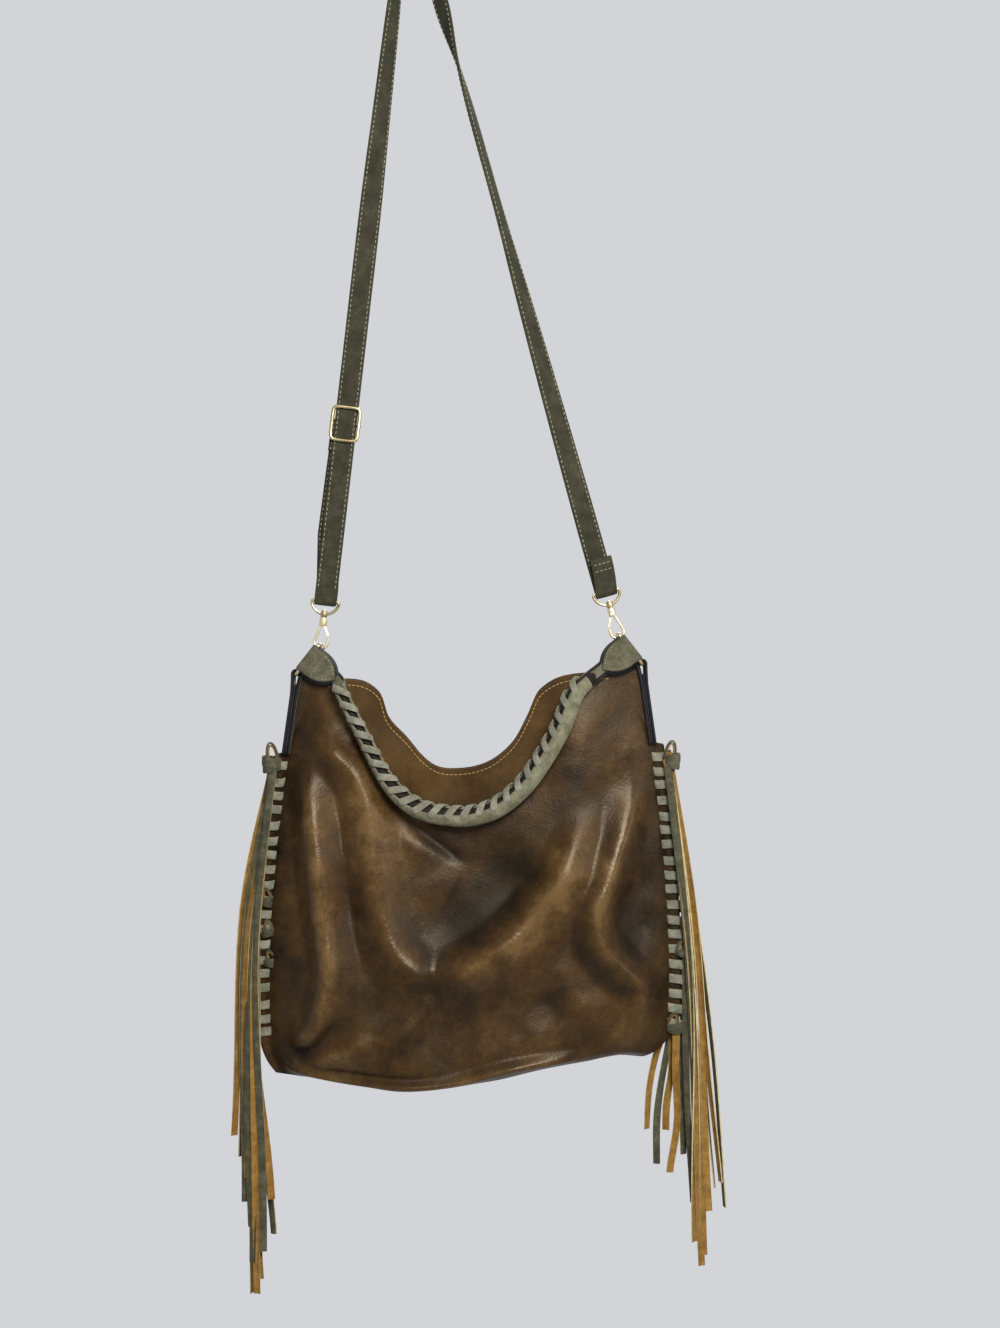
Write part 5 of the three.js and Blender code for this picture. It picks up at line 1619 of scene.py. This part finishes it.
def tab_leather(side):
    reach = np.linspace(TAB_LENGTH - 0.15, 0.4, 40)
    front = [(r, -TAB_FOLD) for r in reach]
    fold = [(-TAB_FOLD * math.sin(a), -TAB_FOLD * math.cos(a)) for a in np.linspace(0, math.pi, 13)]
    back = [(r, TAB_FOLD) for r in reach[::-1]]
    path = np.array(front + fold + back)
    line = tab_place(side) + tab_way(side) * path[:, :1] + DEEP * path[:, 1:]
    widths = np.maximum(2 * leaf_half(path[:, 0]), 0.5)
    return edged_band(f"{side}_tab", line, ring_axis(side), widths, TAB_LEATHER, tab_suede)


def tab_underlay(side):
    reach = np.linspace(2, TAB_LENGTH + UNDERLAY_OVER, 40)
    line = tab_place(side) + tab_way(side) * reach[:, None] - DEEP * (TAB_FOLD - TAB_LEATHER / 2 - 0.5)
    widths = np.maximum(2 * leaf_half(reach - UNDERLAY_OVER) + UNDERLAY_OVER, 0.6)
    return edged_band(f"{side}_tab_underlay", line, ring_axis(side), widths, 1.0, black_edge, DEEP)


for side in SIDES:
    leaf = joined(f"{side}_leaf_tab", [tab_leather(side), tab_underlay(side)])
    finish(leaf, "bag", "suede", f"{side}_handle_tab")
    print(leaf.name, "faces:", len(leaf.data.polygons))

# %% [markdown]
# The tabs are sewn along the leaf's two edges and straight across, below the fold.

# %% Handle tab stitches
TAB_SEAM = 11
TAB_SEAM_HALF = 11.5
TAB_TIP = 3.2
LEAF_INSET = 2.4


def tab_seams(side):
    edge = np.linspace(TAB_SEAM, TAB_LENGTH - TAB_TIP, 30)
    inset = np.maximum(leaf_half(edge + 0.8) - LEAF_INSET, 0.05)
    rows = [np.stack([edge, inset * hand], 1) for hand in (1, -1)]
    rows.append(np.array([(TAB_SEAM, -TAB_SEAM_HALF), (TAB_SEAM, TAB_SEAM_HALF)]))
    seams = []
    for face in (-1, 1):
        skin = tab_place(side) + DEEP * (face * (TAB_FOLD + TAB_LEATHER / 2))
        for row in rows:
            path = skin + tab_way(side) * row[:, :1] + ring_axis(side) * row[:, 1:]
            front = np.broadcast_to(DEEP * face, path.shape)
            seams.append(stitch_row(f"{side}_tab_seam", path, front, tab_thread, 3.2, 2.5, 0.36))
    return finish(joined(f"{side}_tab_thread", seams), "bag", "suede")


for side in SIDES:
    print(tab_seams(side).name, "done")

# %% [markdown]
# A strap with black painted edges folds over the ring's lower bar and runs down into the top of each
# side. It turns its edge to the viewer, so it shows as two black layers with a dull line of glue between.

# %% Side straps
SIDE_STRAP_LENGTH = 73
SIDE_STRAP_WIDTH = 15
SIDE_STRAP_LEATHER = 3.2
SIDE_FOLD = RING_WIRE / 2 + 0.3 + SIDE_STRAP_LEATHER / 2
PINCH = 1.75
PINCH_REACH = 18
GLUE_START = 9


def side_strap(side):
    top = RING[side] + ring_axis(side) * RING_LENGTH
    down = v3(OUT[side] * math.sin(SIDE_LEAN), 0, -math.cos(SIDE_LEAN))
    aside = v3(math.cos(SIDE_LEAN), 0, OUT[side] * math.sin(SIDE_LEAN))
    reach = np.linspace(SIDE_STRAP_LENGTH, 0.5, 30)
    half = SIDE_FOLD - PINCH * np.clip(reach / PINCH_REACH, 0, 1) ** 0.8
    flank = list(zip(reach, -half))
    fold = [(-SIDE_FOLD * math.sin(a), -SIDE_FOLD * math.cos(a)) for a in np.linspace(0, math.pi, 15)]
    path = np.array(flank + fold + [(r, -p) for r, p in flank[::-1]])
    line = top + down * path[:, :1] + aside * path[:, 1:]
    strap = edged_band(f"{side}_strap", line, DEEP, SIDE_STRAP_WIDTH, SIDE_STRAP_LEATHER, tab_suede)
    middle = top + down * np.linspace(GLUE_START, SIDE_STRAP_LENGTH, 10)[:, None]
    glue = sweep(f"{side}_glue", middle, DEEP, band(SIDE_STRAP_WIDTH - 0.6, 1.0, 0.3), dull_glue, aside)
    return finish(joined(f"{side}_black_side_strap", [strap, glue]), "bag", "edge", f"{side}_side_strap")


for side in SIDES:
    print(side_strap(side).name, "done")

# %% [markdown]
# The hardware is cast and plated. Turned parts, such as the swivel's collar, its rivet and the gate's
# pin, start as cylinder primitives, and a bevel wears their edges round: a sharp edge would catch no
# light.

# %% Hardware: turned parts
SHARP = math.radians(40)


def turned(name, radius, depth, place, axis, material, bevel):
    bpy.ops.mesh.primitive_cylinder_add(
        vertices=40, radius=radius * METRE, depth=depth * METRE,
        location=tuple(place * METRE), rotation=Vector(axis).to_track_quat("Z", "Y").to_euler(),
    )
    made = bpy.context.active_object
    made.name = made.data.name = name
    bpy.ops.object.transform_apply(location=True, rotation=True, scale=True)
    wear_and_painted_shade = made.modifiers.new("worn_edge", "BEVEL")
    wear_and_painted_shade.width = bevel * METRE
    wear_and_painted_shade.segments = 3
    made.data.materials.append(material)
    apply_modifiers(made)
    bpy.ops.object.shade_smooth_by_angle(angle=SHARP)
    return made


print("edges stay sharp above", round(math.degrees(SHARP)), "degrees")

# %% [markdown]
# Bent parts are round wires: one point is extruded from place to place, as wire is fed through a bender,
# and as a curve the line then gets its thickness. The corners of a closed wire are eased by averaging
# neighbours, as a bending jig eases them.

# %% Hardware: bent wires
WIRE_STEP = 0.6
SAME_PLACE = 0.02


def bent_line(stops):
    """A line of edges: one point, extruded from stop to stop; a last stop on the first one closes it."""
    bpy.ops.object.select_all(action="DESELECT")
    bpy.ops.mesh.primitive_plane_add(size=METRE, location=tuple(stops[0]))
    bpy.ops.object.transform_apply(location=True, rotation=True, scale=True)
    bpy.ops.object.mode_set(mode="EDIT")
    bpy.ops.mesh.select_all(action="SELECT")
    bpy.ops.mesh.merge(type="CENTER")
    for step in np.diff(stops, axis=0):
        bpy.ops.mesh.extrude_region_move(TRANSFORM_OT_translate={"value": tuple(step)})
    bpy.ops.mesh.select_all(action="SELECT")
    bpy.ops.mesh.remove_doubles(threshold=SAME_PLACE * METRE)
    bpy.ops.object.mode_set(mode="OBJECT")


def wire(name, places, radius, material, closed=False):
    stops = places * METRE
    bent_line(np.vstack([stops, stops[:1]]) if closed else stops)
    bpy.ops.object.convert(target="CURVE")
    bent = bpy.context.active_object.data
    bent.bevel_depth = radius * METRE
    bent.bevel_resolution = 5
    bent.use_fill_caps = True
    bpy.ops.object.convert(target="MESH")
    made = outward(bpy.context.active_object)
    made.name = made.data.name = name
    made.data.materials.append(material)
    bpy.ops.object.shade_smooth_by_angle(angle=SHARP)
    return made


def eased_loop(points, rounds, reach):
    """A closed line as even places, with its corners averaged round."""
    ring = np.vstack([points, points[:1]])
    run = lengths(ring)
    even = walked(np.arange(0, run[-1], run[-1] / round(run[-1] / WIRE_STEP)), run, ring)
    for _ in range(rounds):
        even = sum(np.roll(even, shift, 0) for shift in range(-reach, reach + 1)) / (2 * reach + 1)
    return even


square = eased_loop([v3(0, 0, 0), v3(12, 0, 0), v3(12, 0, 12), v3(0, 0, 12)], 3, 2)
print("places round an eased square of 12 mm:", len(square))

# %% [markdown]
# The slider is a rectangular wire frame with a centre bar that stands back from it, so the strap can
# pass behind the frame and the returning end can loop round the bar.

# %% Slider
SLIDER_HALF_WIDE = 12.2
SLIDER_HALF_HIGH = 15
SLIDER_FRONT = -3.1
SLIDER_BAR = 1.45


def slider_frame():
    corners = ((-1, -1), (1, -1), (1, 1), (-1, 1))
    square = [v3(x * SLIDER_HALF_WIDE, SLIDER_FRONT, SLIDER_UP + z * SLIDER_HALF_HIGH) for x, z in corners]
    return eased_loop(square, 8, 3)


def slider_bar():
    """The bar's line: from the frame straight back, across behind the strap and forward again."""
    wide, back = SLIDER_HALF_WIDE, SLIDER_BACK
    leg = [(wide, SLIDER_FRONT), (wide, 0.5), (wide, back - 1.2), (wide - 1.4, back)]
    bend = [(-x, y) for x, y in leg] + [(0, back)] + leg[::-1]
    return smooth_line([(x, y, SLIDER_UP) for x, y in bend], 60)


def slider():
    frame_line, bar_line = (on_leg("left", line) - DEEP * BAG_Y for line in (slider_frame(), slider_bar()))
    rim = wire("slider_frame", frame_line, SLIDER_WIRE / 2, aged_and_shaded_gold, True)
    bar = wire("slider_bar", bar_line, SLIDER_BAR, aged_and_shaded_gold)
    return finish(joined("gold_slider", [rim, bar]), "slider", "gold", "slider_buckle")


print("slider:", len(slider().data.polygons), "faces")

# %% [markdown]
# Each snap hook hangs in a D-ring by a swivel: a rivet runs through the D-ring's boss into the hook's
# collar. The parts of the swivel are turned about one axis, and the D-ring is a bent wire.

# %% D-rings and swivels
D_HALF = 12.5
D_DROP = 12
D_WIRE = 1.3
# Turned parts: radius, length, the middle's drop below the D-ring's bar, and worn edge.
BOSS = (3.2, 5, 12, 0.6)
SHANK = (1.2, 9.8, 14.1, 0.2)
HEAD = (2.5, 1.2, 8.6, 0.4)


def on_axis(name, side, sizes, material):
    radius, depth, drop, bevel = sizes
    return turned(name, radius, depth, on_leg(side, v3(0, 0, -drop)), UP[side], material, bevel)


def d_ring(side):
    bow = np.array([(D_HALF * math.cos(a), 0, -D_DROP * math.sin(a)) for a in np.linspace(0, math.pi, 50)])
    ring = wire(f"{side}_bow", on_leg(side, eased_loop(bow, 3, 2)), D_WIRE, aged_and_shaded_gold, True)
    boss = on_axis(f"{side}_boss", side, BOSS, aged_and_shaded_gold)
    finish(joined(f"{side}_gold_d_ring", [ring, boss]), "strap", "gold", f"{side}_d_ring")


def swivel(side):
    shank = on_axis(f"{side}_shank", side, SHANK, lit_pale_gold)
    head = on_axis(f"{side}_head", side, HEAD, lit_pale_gold)
    finish(joined(f"{side}_swivel_pin", [shank, head]), f"{side}_hook", "gold", f"{side}_swivel_rivet")


for side in SIDES:
    d_ring(side)
    swivel(side)
    print(side, "D-ring and swivel done")

# %% [markdown]
# The hook is a wire claw in a collar. A sprung gate closes it and turns on a pin through the collar.
# Places on the hook are told outward from the swivel's axis and down from the D-ring's bar.

# %% Hooks and gates
COLLAR = (3.6, 8, 18.8, 0.9)
CLAW_WIRE = 1.35
CLAW_ROUND = 6
CLAW_DROP = 37.2
CLAW_LEG = ((1.6, 21.8), (2.6, 25.2), (4.2, 30.5))
CLAW_NOSE = ((-6, 35), (-6, 33.2))
GATE_LINE = ((-1.2, 20.7), (-3.5, 25.6), (-5.6, 30.2), (-6, 32))
GATE_WIDE = 2.4
GATE_THICK = 1.7
PIN_RADIUS = 0.7
PIN_LENGTH = 7.4


def on_hook(side, places):
    return on_leg(side, [(OUT[side] * out, 0, -drop) for out, drop in places])


def hook(side):
    collar = on_axis(f"{side}_collar", side, COLLAR, lit_pale_gold)
    turn = np.linspace(0, math.pi, 13)
    bend = [(CLAW_ROUND * math.cos(a), CLAW_DROP + CLAW_ROUND * math.sin(a)) for a in turn]
    claw_line = smooth_line(on_hook(side, [*CLAW_LEG, *bend, *CLAW_NOSE]), 80)
    claw = wire(f"{side}_claw", claw_line, CLAW_WIRE, lit_pale_gold)
    finish(joined(f"{side}_gold_hook", [collar, claw]), f"{side}_hook", "gold", f"{side}_hook")


def gate(side):
    line = smooth_line(on_hook(side, GATE_LINE), 24)
    pin = turned(f"{side}_gold_gate_pin", PIN_RADIUS, PIN_LENGTH, line[0], DEEP, lit_pale_gold, 0.15)
    finish(pin, f"{side}_hook", "gold", f"{side}_gate_pin")
    leaf = sweep(f"{side}_gold_gate", line, DEEP, band(GATE_WIDE, GATE_THICK, 0.7), lit_pale_gold)
    finish(leaf, f"{side}_gate", "gold", f"{side}_gate")


for side in SIDES:
    hook(side)
    gate(side)
    print(side, "hook and gate done")

# %% [markdown]
# The bag's two rings are rectangles of thicker wire. Hook, tab and side strap all hold on to them.

# %% Bag rings
def bag_ring(side):
    corners = ((0, -1), (RING_LENGTH, -1), (RING_LENGTH, 1), (0, 1))
    square = [RING[side] + ring_axis(side) * x + DEEP * (y * RING_BREADTH / 2) for x, y in corners]
    ring = wire(f"{side}_gold_ring", eased_loop(square, 4, 2), RING_WIRE / 2, aged_and_shaded_gold, True)
    return finish(ring, "bag", "gold", f"{side}_ring")


for side in SIDES:
    print(bag_ring(side).name, "done")

# %% [markdown]
# Where a bundle of fringe starts, a suede strip is wound round it and its loops stand up a little.
# A real knot is a tangle that can hardly be seen into, so only what shows is made: two windings, each
# an oval band, and two loops, each a band bent over like a hairpin.

# %% Fringe knots
# Each knot: side, place in the photo, half width and half depth of the winding, its middle's depth
# behind the bag's own middle, its height and its lean.
KNOTS = (
    ("left", 272, 762, 7.8, 12.5, -3.5, 16, -1.2),
    ("left", 266, 900, 6.0, 8.0, 0.0, 10, 1.5),
    ("left", 268, 931, 6.0, 8.0, 0.0, 9, -1.5),
    ("left", 270, 961, 6.0, 8.0, 0.0, 9, 1.0),
    ("right", 671, 759, 7.6, 12.0, -2.0, 15, 1.2),
    ("right", 686, 925, 6.0, 8.0, 0.0, 10, -1.5),
    ("right", 682, 951, 6.0, 8.0, 0.0, 9, 1.5),
    ("right", 674, 1026, 7.0, 8.5, 0.0, 11, 1.0),
)
WINDING_THICK = 1.3
LOOP_THICK = 1.2
LOOP_PAST = 0.35


def winding(name, middle, wide, deep, height, lean):
    angle = np.linspace(0, 2 * math.pi, 40, endpoint=False)
    line = middle + np.stack([wide * np.cos(angle), deep * np.sin(angle), lean * np.cos(angle)], 1)
    forward = headings(line, True)
    across = unit(HIGH - forward * forward[:, 2:])
    section = band(height, WINDING_THICK, 0.5, 0.4)
    return sweep(name, line, across, section, fringe_olive, closed=True)


def hairpin(name, foot, wide, high, lean, width, material):
    angle = np.linspace(-LOOP_PAST, math.pi + LOOP_PAST, 24)
    c, s = np.cos(angle), np.sin(angle)
    line = foot + np.stack([wide * c + lean * s, 0 * angle, high * s], 1)
    return sweep(name, line, DEEP, band(width, LOOP_THICK, 0.4, 0.2), material)


def fringe_knot(number, side, px, py, wide, deep, depth, height, lean):
    x, z = spot(px, py)
    middle = v3(x, BAG_Y + depth, z)
    lower = middle - HIGH * (height * 0.3)
    out = OUT[side]
    foot = middle + v3(-out * 1.5, -deep * 0.5, height * 0.3)
    behind = foot + DEEP * 0.4
    parts = [
        winding(f"winding_{number}", middle, wide, deep, height * 0.6, lean),
        winding(f"second_{number}", lower, wide * 0.9, deep * 0.93, height * 0.5, -lean),
        hairpin(f"loop_{number}_a", foot, wide * 0.62, height * 0.8, out * 2.0, 6.0, fringe_olive),
        hairpin(f"loop_{number}_b", behind, wide * 0.45, height * 0.65, out * 1.6, 5.4, fringe_tan),
    ]
    finish(joined(f"{side}_fringe_knot_{number}", parts), "bag", "fringe")


for number, row in enumerate(KNOTS, 1):
    fringe_knot(number, *row)
print("knots:", len(KNOTS))

# %% [markdown]
# A pale floor lies far below the hanging bag. It isn't part of the object.

# %% Floor and end
FLOOR_HEIGHT = -1900
FLOOR_HALF = 1500


def floor():
    paint, tree, _ = surface("pale_floor")
    close_up(tree, {"Base Color": linear("#EDEDEF"), "Roughness": 0.85})
    around = ((-1, -1), (1, -1), (1, 1), (-1, 1))
    corners = [(x * FLOOR_HALF, y * FLOOR_HALF, FLOOR_HEIGHT) for x, y in around]
    make("pale_floor", corners, [(0, 1, 2, 3)], [paint])


floor()
print("scene done")
